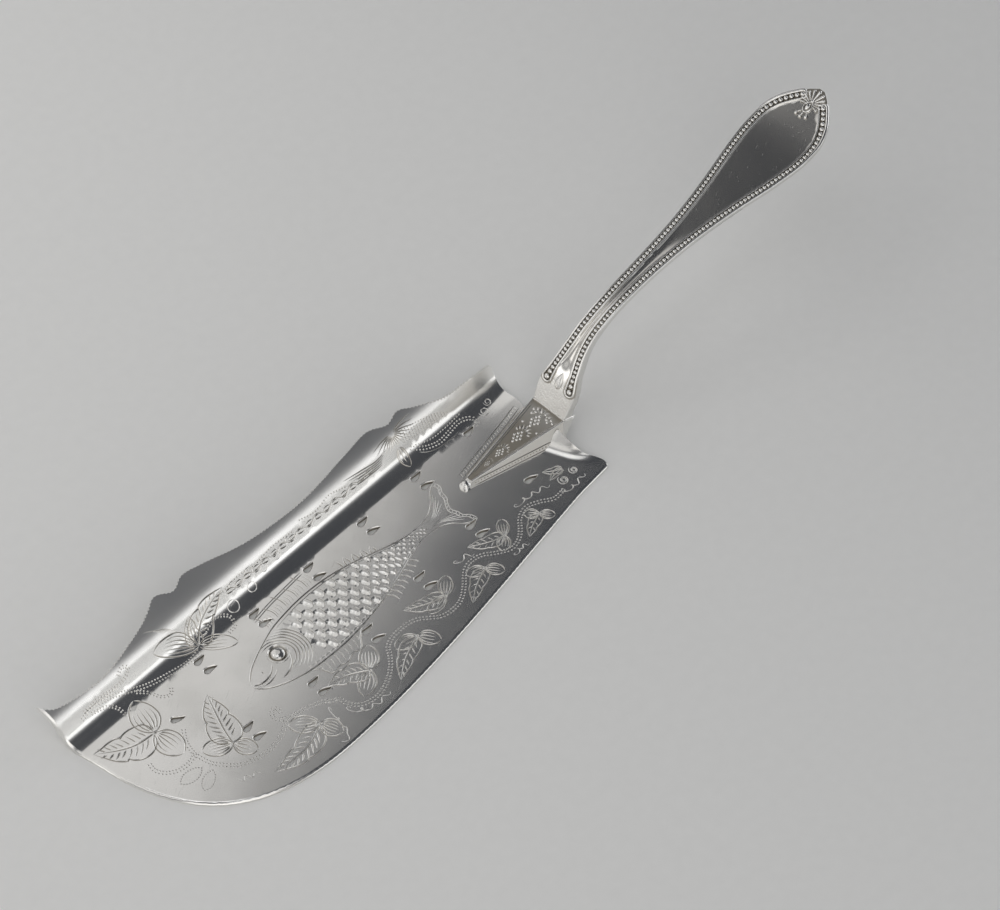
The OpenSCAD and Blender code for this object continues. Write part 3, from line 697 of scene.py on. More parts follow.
def drawFish(g):
    back, belly = smooth(fish["back"]), smooth(fish["belly"])
    for line in (back, belly):
        g.cut(line, 0.5, 0.17, (0.04, 0.12))
    g.cut(back[30:84] + (0.6, -0.9), 0.26, 0.09)
    g.cut(belly[30:84] + (0.6, 1.0), 0.26, 0.09)
    for key in ("tailTop", "tailFoot"):
        g.cut(smooth(fish[key]), 0.42, 0.14, (0.1, 0.1))
    for shift in (0, -1.0):              # roped end of the tail
        g.cut(smooth(fish["tailEnd"]) + (shift, 0), 0.3, 0.1, (0.1, 0.1))
    rope = evenly(smooth(fish["tailEnd"]), 1.15)
    for p in rope[1:-1]:
        g.cut([p + (-0.8, -0.3), p + (-0.2, 0.3)], 0.24, 0.08, gap=0.5)
    for k in range(5):                   # rays of the tail's two lobes
        t = k / 4
        g.cut(smooth([(-32 + 2 * t, 0.2 - 0.9 * t), (-28, 1.2 - 1.6 * t),
                      (-23.2 - 0.6 * t, 6.2 - 5.6 * t)]), 0.26, 0.09, (0.5, 0.3))
        g.cut(smooth([(-32 + 2 * t, -1.9 + 0.8 * t), (-28, -2.9 + 1.3 * t),
                      (-23 - 0.8 * t, -6.8 + 4.6 * t)]), 0.26, 0.09, (0.5, 0.3))
    eye = np.array(fish["eye"])
    g.dome(eye, fish["eyeRadius"], 0.95, 0.5)
    g.cut(circle(eye, fish["eyeRadius"] * 1.5, 22, 2.2)[:15], 0.3, 0.1)
    for k in range(6):                   # brow, cheek and gill lines round the eye
        radius = 5.4 + 0.98 * k
        a = np.radians(np.linspace(112 - 5 * k, -88 + 6 * k, 26))
        arc = np.array(fish["gill"]) + np.column_stack([radius * np.cos(a), 0.9 * radius * np.sin(a)])
        inside = insideOf(np.vstack([back, belly[::-1]]), arc)
        g.cut(arc[inside], 0.5 if k > 1 else 0.4, 0.17, (0.25, 0.3))
    mouth = smooth([(-106.4, -3.6), (-103.6, -4.6), (-101.2, -4.4), (-99, -3.4), (-97.4, -1.8)])
    g.cut(mouth, 0.6, 0.22, (0.05, 0.4))
    g.cut(mouth[:22] + (0.5, -1.3), 0.4, 0.14)
    for k in range(6):                   # teeth along the mouth
        g.cut([(-105.2 + 0.85 * k, -4.5), (-105 + 0.85 * k, -5.5)], 0.3, 0.12, gap=0.5)
    g.cut(smooth([(-98.6, -7.6), (-95.4, -7), (-92.6, -5.2), (-91, -2.6)]), 0.7, 0.2, (0.3, 0.4))     # cheek
    g.pit([(-101.4, -2)], 0.36, 0.18)
    hand = np.random.default_rng(5)
    x, k = -83.6, 0
    while x < -33.5:                     # scales: a broad slanting face each, steep on the side of the head
        top, foot = (heightOn(line, x) for line in (back, belly))
        size = min(1, (top - foot + 3) / 21)
        for row in range(-3, 4):
            y = (top + foot) / 2 + fish["scaleRow"] * size * (row + 0.5 * (k % 2))
            if not foot + 1.5 * size < y < top - 1.1 * size:
                continue
            mark = np.array([(0.55, -1.6), (0.1, -0.55), (-0.24, 0.5), (-0.4, 1.45)])
            mark = mark * size * hand.uniform(0.86, 1.1)
            mark += (x, y) + hand.uniform(-0.12, 0.12, 2)
            g.cut(smooth(mark, 3), 2.3 * size, 0.42 * size, (0.3, 0.3), (0.2, 1), 0.5)
            a = np.radians(np.linspace(-104, 62, 12))
            rim = np.column_stack([0.35 + 1.75 * np.cos(a), 2.0 * np.sin(a)]) * size
            g.cut(rim + (x, y), 0.34 * size, 0.13, (0.15, 0.3), gap=0.5)
        x, k = x + fish["scalePitch"] * size, k + 1
    for k in range(16):                  # hatching along the belly and behind the gills
        x = -91 + 1.9 * k
        y = heightOn(belly, x) + 0.35
        g.cut([(x, y), (x + 1.1, y + 1.1)], 0.24, 0.09, gap=0.5)
        g.cut([(x + 1.1, y), (x, y + 1.1)], 0.24, 0.09, gap=0.5)


def drawFins(g):
    back, belly = smooth(fish["back"]), smooth(fish["belly"])
    ridge = smooth([(-91, 12.3), (-84, 13.4), (-77, 14), (-69, 14.6)])
    for shift in (0, -0.75):
        g.cut(ridge + (0, shift), 0.34, 0.12, (0.1, 0.1))
    for k in range(5):                   # the long back fin: five webs, each with fine rays
        x = -89.8 + 4.4 * k
        foot = heightOn(back, x + 0.6) + 0.4
        head = heightOn(ridge, x) + (0.5 if k % 2 else 1.3)
        g.cut(smooth([(x - 0.4, head), (x + 0.9, (foot + head) / 2), (x + 0.6, foot)], 4), 0.42, 0.15,
              (0.1, 0.4), gap=0.5)
        for j in range(3):
            at = x + 1.2 + 1.1 * j
            low = heightOn(back, at) + 0.5
            high = heightOn(ridge, at) - 1.1
            g.cut([(at, low), (at + 0.5, (low + high) / 2), (at - 0.1, high)], 0.26, 0.09, gap=0.6)
    for k in range(9):                   # short spines behind it
        x = -59.5 + 1.35 * k
        y = heightOn(back, x)
        lean = 1.2 if k % 2 else -0.3
        g.cut(smooth([(x, y), (x + 0.2, y + 1.4), (x + lean, y + 3.2 - 0.12 * k)], 3), 0.56, 0.18,
              (0.05, 0.7), gap=0.6)
    for k in range(8):                   # spines under the tail
        x = -58 + 1.9 * k
        y = heightOn(belly, x)
        g.cut(smooth([(x, y), (x + 1.4, y - 1.6), (x + 1.7, y - 3.8 + 0.16 * k)], 3), 0.66, 0.2,
              (0.05, 0.7), gap=0.6)
    fin = smooth([(-91.5, -11.6), (-89.4, -13), (-87.6, -16.6), (-84.6, -16.2), (-82, -17), (-79, -15.9),
                  (-76, -16.4), (-73.4, -13.6), (-70.5, -11.3)])
    g.cut(fin, 0.5, 0.16, (0.1, 0.1))
    for k in range(9):                   # rays of the belly fin
        x = -88.6 + 1.8 * k
        y = heightOn(belly, x)
        g.cut(smooth([(x, y - 0.4), (x + 0.2, y - 1.8), (x - 0.5, heightOn(fin, x) + 0.6)], 2),
              0.34, 0.11, gap=0.8)


def rope(g, start, end, width, lean):    # a band of slanting cuts between two lines
    start, end = np.array(start, float), np.array(end, float)
    along = (end - start) / np.linalg.norm(end - start)
    up = np.array([-along[1], along[0]])
    for k in (0, 1):
        g.cut([start + up * width * k, end + up * width * k], 0.34, 0.14, (0.05, 0.02), gap=2.0)
    for at in np.arange(0.6, np.linalg.norm(end - start) - 0.6, 1.05):
        foot = start + along * at + up * 0.2 * width
        g.cut([foot, foot + up * width * 0.62 + along * lean], 0.5, 0.2, gap=0.6)


# ornament: the lip's two ears, scrolls and rings
def lipOrnament(g):
    root = (-107.4, 17.4)
    for tip, half, bow in (((-91.6, 27), 4.2, 1.8), ((-105.4, 27), 2.6, 0.3)):
        longLeaf(g, root, tip, half, bow, 8)
    roundLeaf(g, root, (-120.6, 24.8), 3.4, -1.4, 5)
    roundLeaf(g, root, (-98.4, 10.4), 2.5, 0.8, 4)
    for k in range(5):                   # a few long cuts fanning up the ear
        g.cut(smooth([(-111 - 0.9 * k, 25.4 + 0.5 * k), (-114 - 0.8 * k, 28.6 + 0.4 * k),
                      (-117.4 - 0.7 * k, 30 + 0.4 * k)]),
              0.32, 0.1)
    g.dotted(smooth([(-149.5, 23.2), (-145, 24), (-139, 22.9), (-133, 20.6), (-127, 18.3), (-120, 16.8),
                     (-113, 15.8), (-108.6, 16.4)]))
    g.dotted(smooth([(-148, 24.6), (-142, 25), (-136, 24.2), (-131.4, 24.8), (-129.6, 26.6), (-131.4, 28),
                     (-133.4, 26.8)]), apart=0.7)
    g.dotted(smooth([(-146, 22.6), (-141, 21.2), (-138.6, 18.8), (-138.2, 16.4)]), apart=0.7)
    g.dotted(smooth([(-131, 18.8), (-128.4, 16.4), (-127, 13), (-124.6, 11.6), (-123, 13)]), apart=0.7)
    for k in range(16):                  # short rungs between the scroll's rows
        g.cut([(-147.5 + 0.95 * k, 23.1), (-147 + 0.95 * k, 25)], 0.3, 0.1, gap=0.9)
    g.dotted(smooth([(-103, 19.4), (-98, 20.6), (-94.4, 18.4), (-95, 15.2), (-98, 14.6)]), apart=0.7)
    for x, y, radius in ((-91.4, 19.8, 1.9), (-88.6, 25, 1.3), (-83.2, 20.6, 1.5), (-82, 25.2, 1.4),
                         (-77, 23, 1.3), (-71.6, 23.2, 1.2), (-66, 24.8, 1.1)):
        g.cut(circle((x, y), radius, 18, 1.0), 0.28, 0.07, (0.1, 0.1), gap=0.4)
    g.dotted(smooth([(-93, 25.4), (-86, 26.4), (-79, 25.6), (-72, 26.6), (-64, 26)]), rows=1)
    g.dotted(smooth([(-60, 27.4), (-54, 26.2), (-48, 27.4), (-42, 26)]), rows=1)
    bend = 3.6                           # a running scroll with a leaf in each bend
    stem = evenly([(-92, 24.2), (-30, 24.6)], 0.4)
    stem[:, 1] += 0.9 * np.sin((stem[:, 0] + 92) * math.pi / bend)
    g.cut(stem, 0.4, 0.13, (0.03, 0.03), gap=0.4)
    for k, x in enumerate(np.arange(-90.2, -30, bend)):
        side = (-1) ** k
        roundLeaf(g, (x - 1.2, 24.4), (x + 1.6, 24.4 - 0.4 * side), 0.62, 0.1 * side, 1)
    root = (-20.6, 29.6)                 # the heel's ear
    for a in np.radians(np.linspace(-172, 8, 16)):
        reach = 4.6 + 4.2 * abs(math.cos(a)) ** 2
        d = np.array([math.cos(a), math.sin(a)])
        far = np.array(root) + reach * d
        g.cut(smooth([root + 0.8 * d, (root + far) / 2 + (0.25 * math.sin(a), 0.4), far]), 0.5, 0.18,
              (0.1, 0.7))
    for k in range(5):
        g.cut(smooth([(-24 - 0.8 * k, 26.9 - 0.7 * k), (-29, 25.9 - 0.6 * k), (-34 - k, 26.6 - 0.7 * k),
                      (-42 + 1.4 * k, 27.8 - 0.9 * k)]),
              0.42, 0.14)
        g.dotted(smooth([(-18, 28.4 - 0.9 * k), (-12, 27.4 - 0.9 * k), (-5 + k, 25.4 - 0.6 * k)]), rows=1,
                 gap=1.0)
    roundLeaf(g, (-20.6, 24.6), (-20.4, 17.4), 1.7, 0, 3)
    g.dotted(smooth([(-17, 21.6), (-13, 18.9), (-8.5, 17.5), (-4, 17.9), (0.5, 18.4), (4, 17), (4.8, 15),
                     (3.4, 14.2)]))
    g.cut(smooth([(-15.6, 19.2), (-13, 17.3), (-9.6, 16.3), (-5, 16), (-1.6, 16.2)]), 0.36, 0.11)
    g.dotted(smooth([(-15, 21.4), (-10, 19.8), (-4, 19.6), (2, 20)]), rows=1)
    g.cut(curl((8.6, 15.8), 1.7, 150, 1.5), 0.34, 0.1, gap=0.35)
    g.cut(curl((11.6, 17.4), 1.3, 150, 1.5), 0.3, 0.1, gap=0.2)


def bladeGrid():                         # a light net of points that lets the sheet bend
    rows = np.concatenate([np.arange(-36, 15, 5.0), np.linspace(15.5, 22.3, 10), (23.4, 24.6, 25.8),
                           np.linspace(26.4, 33.1, 7), (34.4, 35.7)])
    columns = np.arange(-158, 6, 3.0)
    net = np.array([(x, s) for x in columns for s in rows])
    heelRows = np.concatenate([np.arange(-23, 15, 1.4), rows[11:]])
    heel = np.array([(x, s) for x in np.arange(6.4, 19, 0.85) for s in heelRows])
    return np.vstack([net, heel])


def makeBlade():
    g = Graver()
    front, lip, heel = bladeOutline()
    front, lip, heel = unfolded(front), unfolded(lip), unfolded(heel)
    outline = np.vstack([front, lip[1:], heel[1:-1]])
    outline = outline[::-1]              # anticlockwise
    edge = front[::-1]
    g.bevel(edge, blade["bevel"])
    for item in sprays:
        spray(g, *item)
    vine(g)
    drawFish(g)
    drawFins(g)
    lipOrnament(g)
    rope(g, (-13.4, 3.5), (16.6, 9.0), 1.7, 0.7)
    holes = piercings()
    for hole in holes:
        g.bevel(np.vstack([hole, hole[:1]]), blade["worn"])
    grid = bladeGrid()
    grid = grid[insideOf(outline, grid)]
    print("blade layout:", len(g.cuts), "cuts,", len(g.pits), "pits")
    flat, top, tris, deep, dark, loops = cutSheet(g, outline, holes, grid, onBlade)
    rim = rimEdges(tris)
    ring = np.unique(rim)
    place = np.full(len(flat), -1)
    place[ring] = np.arange(len(ring))
    net = grid[nearest(grid, flat[ring]) > 0.6]
    points = [Vector(p) for p in np.vstack([flat[ring], net])]
    under = delaunay_2d_cdt(points, place[rim].tolist(), [], 0, 1e-5, True)
    low = np.array([v[:] for v in under[0]])
    lowTris = np.array(under[2])
    middle = low[lowTris].mean(1)
    keep = insideOf(outline, middle)
    for hole in holes:
        keep &= ~insideOf(hole, middle)
    lowTris = lowTris[keep]
    lowN = normalsOf(onBlade, low)
    base = onBlade(low) - lowN * blade["sheet"]
    fromRing = {source: k for k, sources in enumerate(under[3]) for source in sources if source < len(ring)}
    start = len(flat)
    walls = [(b, a, start + fromRing[place[a]], start + fromRing[place[b]]) for a, b in rim]
    verts = np.vstack([top, base])
    faces = tris.tolist() + (lowTris[:, ::-1] + start).tolist() + walls
    normals = np.vstack([loops.reshape(-1, 3), -lowN[lowTris[:, ::-1]].reshape(-1, 3),
                         np.repeat(flatNormals(verts, walls), 4, axis=0)])
    inHole = nearest(low, np.vstack(holes)) < 0.05       # painted shade: the piercings' walls and the underside at them painted dark
    (atX, atS), (fadeX, fadeS) = blade["frostAt"], blade["frostFade"]
    raw = ease(0.5 + (flat[:, 0] - atX) / fadeX - (flat[:, 1] - atS) / fadeS)    # how frosty its cuts are
    inland = nearest(flat, edge) > 1.0
    recess = dark * (1 - 0.4 * raw) * inland
    # painted shade: the top's points at the piercings' edges painted dark too
    recess[ring] = np.maximum(recess[ring], nearest(flat[ring], np.vstack(holes)) < 0.05)
    recess = np.concatenate([recess, np.where(inHole, 1.0, 0.15)])
    body = np.vstack([smooth(fish["back"]), smooth(fish["belly"])[::-1]])
    frost = blade["frost"] * (0.2 + 0.8 * raw) * np.clip(deep / 0.07, 0, 1) * ~insideOf(body, flat) * inland
    satin = np.maximum(blade["satin"] * ease((flat[:, 1] - blade["satinFrom"]) / 3), frost)
    satin = np.concatenate([satin, np.full(len(low), 0.5)])
    return meshObject("pierced_blade", verts, faces, recess, normals, satin=satin)


dress(makeBlade(), bladeSilver, "blade")


# tongue: a wedge on the blade that carries the handle
tongue = {
    "tip": (-14.5, 1.3), "topX": -12.8, "tipHalf": 0.85, "footHalf": 1.7, "tipZ": 2.6, "floorZ": 1.1,
    "heelX": 16.3, "heelHalf": 8.6, "seamX": 19.0, "seamHalf": 6.0, "seamZ": 6.4, "seamDepth": 5.0,
    "seamTurn": 63.0, "ridge": 0.26, "band": 1.6, "mattingAndShade": 1.0, "wallMatting": 0.5,
}


def ringFaces(rings, count, closed=False):   # faces from each ring of points to the next
    return [(i * count + k, i * count + (k + 1) % count,
             (i + 1) % rings * count + (k + 1) % count, (i + 1) % rings * count + k)
            for i in range(rings if closed else rings - 1) for k in range(count)]


def sweep(path, up, radius, sides=8, closed=False):      # a round bar along a line
    path, up = np.asarray(path, float), np.asarray(up, float)
    if closed:
        along = np.roll(path, -1, axis=0) - np.roll(path, 1, axis=0)
    else:
        along = np.gradient(path, axis=0)
    along /= np.maximum(np.linalg.norm(along, axis=1), 1e-9)[:, None]
    side = np.cross(along, up)
    side /= np.maximum(np.linalg.norm(side, axis=1), 1e-9)[:, None]
    up = np.cross(side, along)
    a = np.linspace(0, 2 * math.pi, sides, endpoint=False)
    radius = np.broadcast_to(np.asarray(radius, float), (len(path),))
    verts = path[:, None] + radius[:, None, None] * (np.cos(a)[None, :, None] * side[:, None]
                                                     + np.sin(a)[None, :, None] * up[:, None])
    n = len(path)
    faces = ringFaces(n, sides, closed)
    if not closed:
        faces += [tuple(range(sides))[::-1], tuple((n - 1) * sides + k for k in range(sides))]
    return verts.reshape(-1, 3), faces, 0.0


def lathe(rings, centre, sides=20):      # rings of (radius, height), open below
    a = np.linspace(0, 2 * math.pi, sides, endpoint=False)
    verts = np.vstack([np.column_stack([r * np.cos(a), r * np.sin(a), np.full(sides, z)]) for r, z in rings])
    lid = tuple(range((len(rings) - 1) * sides, len(rings) * sides))
    return verts + np.array((centre[0], centre[1], 0.0)), ringFaces(len(rings), sides) + [lid], 0.0


def tongueTop(flat):
    t = tongue
    rise = (t["seamZ"] - t["tipZ"]) / (t["seamX"] - t["topX"])
    return np.column_stack([flat, t["tipZ"] + rise * (flat[:, 0] - t["topX"])])


def footEnds(side):                      # a wall's foot, from the tongue's point to the heel
    t = tongue
    return [(t["tip"][0], t["tip"][1] + side * t["footHalf"], t["floorZ"]),
            (t["heelX"], side * t["heelHalf"], t["floorZ"])]


def topEnds(side):                       # and its top, from the point to the seam
    t = tongue
    return [(t["topX"], t["tip"][1] + side * t["tipHalf"], t["tipZ"]),
            (t["seamX"], side * t["seamHalf"], t["seamZ"])]


def tongueWall(side):                    # one wall's layout: along the foot, and up from it
    foot, top = np.array(footEnds(side)), np.array(topEnds(side))
    length = np.linalg.norm(foot[1] - foot[0])
    tall = np.linalg.norm(top - foot, axis=1)

    def place(flat):
        u = flat[:, :1] / length
        v = flat[:, 1:] / (tall[0] + (tall[1] - tall[0]) * u)
        return (1 - v) * (foot[0] + u * (foot[1] - foot[0])) + v * (top[0] + u * (top[1] - top[0]))

    return place, length, tall


def sprig(g, x, y, size):                # a knot of pebbles, with leaf strokes fanning from it to the seam
    for a, c in ((0, 0), (0, 1), (0, -1), (0.9, 0.5), (0.9, -0.5), (-0.9, 0.5), (-0.9, -0.5), (1.7, 0),
                 (-1.7, 0)):
        nudge = 0.12 * size * np.array((math.sin(5 * a + 3 * c + x), math.cos(4 * a - 7 * c)))
        g.dome(nudge + (x + 1.05 * size * a, y + 1.1 * size * c), 0.42 * size, 0.42 * size, 0.05)
    for k, a in enumerate(np.radians((-66, -44, -22, 0, 22, 44, 66))):
        d = np.array([math.cos(a), math.sin(a)])
        n = np.array([-d[1], d[0]])
        knot = np.array((x + 1.0 * size, y))
        start = knot + 1.5 * size * d
        tip = knot + (3.9 - 0.3 * abs(k - 3)) * size * d
        g.cut(smooth([start, (start + tip) / 2 + 0.2 * size * n, tip], 3), 0.8 * size, 0.22, (0.25, 0.6),
              gap=0.6)


def makeTongue():
    t = tongue
    grid = np.array([(x, y) for x in np.arange(-11.5, 19, 1.5) for y in np.arange(-5.5, 6, 1.1)])
    g = Graver()
    for side in (1, -1):
        g.cut([(t["topX"] + 1.5, t["tip"][1] + side * 0.45),
               (t["seamX"] - 0.4, side * (t["seamHalf"] - 0.8))], 0.4, 0.2, (0.1, 0.03), gap=2.0)
    for x, y, size in ((-5.6, 1.0, 0.5), (-0.6, 0.8, 0.8), (6.6, 0.5, 1.05), (13.8, 0.2, 1.1)):
        sprig(g, x, y, size)
    for x, y in ((16.6, 3.4), (17.4, 2.5), (16.2, 2.3), (15.2, 3.0), (16.8, -3.2), (15.6, -2.7), (17.3, -2.2),
                 (16.3, -4.1), (11.4, 3.0), (11.0, -2.9), (17.2, 0.9), (17.3, -0.6)):
        g.dome((x, y), 0.42, 0.4, 0.05)
    top = np.array([(t["topX"], t["tip"][1] - t["tipHalf"]), (t["seamX"], -t["seamHalf"]),
                    (t["seamX"], t["seamHalf"]), (t["topX"], t["tip"][1] + t["tipHalf"])])
    sheets = [cutSheet(g, top, [], grid[insideOf(top, grid)], tongueTop)[1:] + (1,)]
    for side in (1, -1):
        place, length, tall = tongueWall(side)
        wall = np.array([(0, 0), (length, 0), (length, tall[1]), (0, tall[0])])
        net = np.array([(x, h) for x in np.arange(1, length, 1.5) for h in np.arange(0.5, 6.5, 1.0)])
        g = Graver()
        rope(g, (1.5, 0.35), (length - 1.2, 0.5), t["band"], 0.6 * side)
        sheets.append(cutSheet(g, wall, [], net[insideOf(wall, net)], place)[1:] + (-side,))
    verts, faces, recess, normals, start = [], [], [], [], 0
    for v, tris, deep, dark, loops, turn in sheets:
        if turn < 0:                     # the far wall's layout is mirrored
            tris, loops = tris[:, ::-1], -loops[:, ::-1]
        verts.append(v)
        faces += (tris + start).tolist()
        if len(verts) == 1:              # the top's ground is matted and tarnished, and painted darker still as shade, less towards the seam, with a dark strip at the seam; its pebbles and strokes stay bright
            dark = t["mattingAndShade"] * (1 - 0.35 * ease((v[:, 0] - 8) / 8))
            dark = dark * (1 - np.clip(np.abs(deep) / 0.1, 0, 1))
            dark = np.maximum(dark, ease((v[:, 0] - t["seamX"] + 0.9) / 0.4))
        else:
            dark = np.maximum(dark, t["wallMatting"] * (1 - np.clip(deep / 0.1, 0, 1)))
        recess.append(dark)
        normals.append(loops.reshape(-1, 3))
        start += len(v)
    a = math.radians(t["seamTurn"])
    seamFoot = (t["seamX"] + t["seamDepth"] * math.sin(a), t["seamZ"] - t["seamDepth"] * math.cos(a))
    low = np.array([p for side in (1, -1) for p in (
        *footEnds(side), (seamFoot[0], side * t["seamHalf"], seamFoot[1]), *topEnds(side)[::-1])])
    back = [(0, 1, 6, 5), (1, 2, 7, 6), (2, 3, 8, 7), (0, 5, 9, 4), (1, 3, 2), (6, 7, 8)]
    faces += [tuple(i + start for i in f) for f in back]
    normals += [np.repeat(flatNormals(low, [f[:3]]), len(f), axis=0) for f in back]
    verts, recess = np.vstack(verts + [low]), np.concatenate(recess + [np.zeros(len(low))])
    return meshObject("shoulder_tongue", verts, faces, recess, np.vstack(normals)), seamFoot


shoulder, seamFoot = makeTongue()
dress(shoulder, tongueSilver, "tongue")


def makeTrim():                          # nub, ridges and seam wire of the tongue
    t = tongue
    nub = lathe([(1.75, 1.1), (1.75, 1.45), (1.5, 1.6), (1.55, 1.95), (1.25, 2.12), (1.3, 2.4), (1.0, 2.7),
                 (0.5, 2.85)], t["tip"])
    bars = [nub]
    for side in (1, -1):
        line = evenly(topEnds(side), 2.0)
        bars.append(sweep(line, np.tile((0, 0, 1.0), (len(line), 1)), t["ridge"]))
    for shift in (-0.35, 0.35):
        a = math.radians(t["seamTurn"])
        d = np.array((math.cos(a), 0, math.sin(a))) * shift
        wire = np.array([(seamFoot[0], -t["seamHalf"], seamFoot[1]), (t["seamX"], -t["seamHalf"], t["seamZ"]),
                         (t["seamX"], t["seamHalf"], t["seamZ"]),
                         (seamFoot[0], t["seamHalf"], seamFoot[1])]) + d
        wire = evenly(wire, 0.4)
        bars.append(sweep(wire, np.tile((-math.sin(a), 0.001, math.cos(a)), (len(wire), 1)), 0.24))
    verts, faces, recess = gather(bars)
    return meshObject("tongue_trim", verts, faces, recess, sharp=40)


dress(makeTrim(), tongueSilver)


# handle: a curved bar, its layout flat as (s, y) with s along the crest from the seam
handle = {
    "seamX": 19.0, "seamZ": 6.4, "run": 117.0, "rise": 42.4,
    "crest": [(0, 0), (0.034, 0.19), (0.073, 0.355), (0.12, 0.5), (0.188, 0.6), (0.282, 0.67), (0.402, 0.722),
              (0.556, 0.774), (0.726, 0.83), (0.863, 0.89), (1, 1)],
    "half": [(0, 6), (0.03, 6.5), (0.06, 5.0), (0.11, 3.76), (0.19, 3.51), (0.28, 3.62), (0.38, 4.05),
             (0.5, 5.22), (0.62, 7.42), (0.72, 9.81), (0.8, 11.32), (0.845, 11.6), (0.89, 11.25),
             (0.93, 9.4), (0.965, 6.26), (0.985, 3.71), (1, 1.16)],
    "depth": [(0, 5), (0.08, 3.8), (0.15, 3.2), (0.32, 2.5), (1, 2.3)],
    "strapStart": 9.8, "lastBeadY": 4.0, "strap": 2.75, "bulb": 4.2, "lastStrap": 3.3, "outerRim": 0.36,
    "innerRim": 0.3, "rim": 0.32, "rimGrowth": 0.22, "channel": 0.55, "panel": 0.3, "dish": 0.5,
    "beadPitch": 1.4, "bead": 0.245,
}
crest = smooth([(handle["seamX"] + f * handle["run"], handle["seamZ"] + r * handle["rise"])
                for f, r in handle["crest"]], 16)
crestRun = runAlong(crest)
crestEnd = crestRun[-1]
crestTurn = np.gradient(crest, axis=0)
crestTurn /= np.linalg.norm(crestTurn, axis=1)[:, None]
halfLine = smooth(handle["half"], 8)
depthLine = smooth(handle["depth"], 8)


def shareAt(s):                          # arc length to share of the run
    return (np.interp(s, crestRun, crest[:, 0]) - handle["seamX"]) / handle["run"]


def halfAt(s):
    return heightOn(halfLine, shareAt(s))


def crestUp(s):
    t = np.column_stack([np.interp(s, crestRun, crestTurn[:, k]) for k in (0, 1)])
    t /= np.linalg.norm(t, axis=1)[:, None]
    return np.column_stack([-t[:, 1], np.zeros(len(t)), t[:, 0]])


def onHandle(flat, lift=0.0):            # layout to the crest's surface, lifted along its normal
    s = flat[:, 0]
    p = np.column_stack([np.interp(s, crestRun, crest[:, 0]), flat[:, 1],
                         np.interp(s, crestRun, crest[:, 1])])
    return p + crestUp(s) * np.broadcast_to(lift, (len(s),))[:, None]


edgeStops = np.concatenate([np.arange(0, crestEnd - 4, 1.0), np.linspace(crestEnd - 4, crestEnd, 9)])
handleEdge = smooth([(s, halfAt(s)) for s in edgeStops], 3)
handleEdge = evenly(handleEdge, 0.3)
edgeIn = -leftOf(handleEdge)


def strapAt(s):                          # breadth of a strap with its two rims
    h = handle
    return np.interp(s, [h["strapStart"] - 2, h["strapStart"] + 4.5, crestEnd - 18, crestEnd - 8],
                     [h["bulb"], h["strap"], h["strap"], h["lastStrap"]])


edgeWide = strapAt(handleEdge[:, 0])
edgeMiddle = handleEdge + edgeIn * (edgeWide / 2)[:, None]
inStrap = (edgeMiddle[:, 1] > handle["lastBeadY"]) | (handleEdge[:, 0] < crestEnd - 30)
inStrap &= handleEdge[:, 0] > handle["strapStart"]
strapEdge, strapIn = handleEdge[inStrap], edgeIn[inStrap]
strapWide, strapMiddle = edgeWide[inStrap], edgeMiddle[inStrap]


def strapLoop():                         # both rims of one strap as one closed line, round at its ends
    h = handle
    outer, inner = h["outerRim"], strapWide - h["innerRim"]
    lines = [strapEdge + strapIn * outer]
    t = np.linspace(0, math.pi, 25)[1:-1, None]
    for k, way in ((-1, 1), (0, -1)):
        n, along = strapIn[k], np.array([strapIn[k][1], -strapIn[k][0]]) * -1
        radius = (inner[k] - outer) / 2
        middle = strapEdge[k] + n * (inner[k] + outer) / 2
        arc = middle - n * radius * np.cos(t) + along * way * radius * np.sin(t)
        lines.append(arc if way > 0 else arc[::-1])
        if way > 0:
            lines.append((strapEdge + strapIn * inner[:, None])[::-1])
    return evenly(np.vstack(lines), 0.3)[:-1]


strapLine = strapLoop()


def handleLevel(flat):                   # how far the top lies under the crest, and how dark it is painted: tarnish and painted shade in the bead channels, a slightly darker sunk panel, and painted shade on the shell's ground and in the crevices by the rims near the seam
    h = handle
    s, y = flat[:, 0], np.abs(flat[:, 1])
    spot = np.column_stack([s, y])
    wide = strapAt(s)
    channel = ease((wide / 2 - 0.2 - nearest(spot, strapMiddle)) / 0.3)
    inside = ease((nearest(spot, handleEdge) - wide + 0.1) / 0.3)
    inside = inside * ease((s - 12.5) / 6) * ease((crestEnd - 3 - s) / 3)
    across = np.clip(y / np.maximum(halfAt(s) - wide, 0.3), 0, 1)
    neck = 1 - ease((s - 40) / 35)
    dish = inside * (h["panel"] + h["dish"] * (1 - across ** 2) * neck)
    edge = 0.25 * (1 - np.clip((halfAt(s) - y) / 0.3, 0, 1)) ** 2
    # painted shade: the ground among the end shell's lobes darkened
    shell = 0.9 * ease((s - crestEnd + 6.5) / 1.5) * ease((halfAt(s) - y) / 0.5)
    # painted shade: crevices beside the strap rims near the seam darkened
    crevice = 0.9 * ease(1.6 - np.abs(nearest(spot, strapLine) - 0.42) / 0.25) * ease((16 - s) / 4)
    shell = np.maximum(shell, crevice)
    level = np.maximum(np.maximum(channel * h["channel"], dish), edge)
    return level, np.maximum(np.maximum(channel, 0.35 * inside), shell)


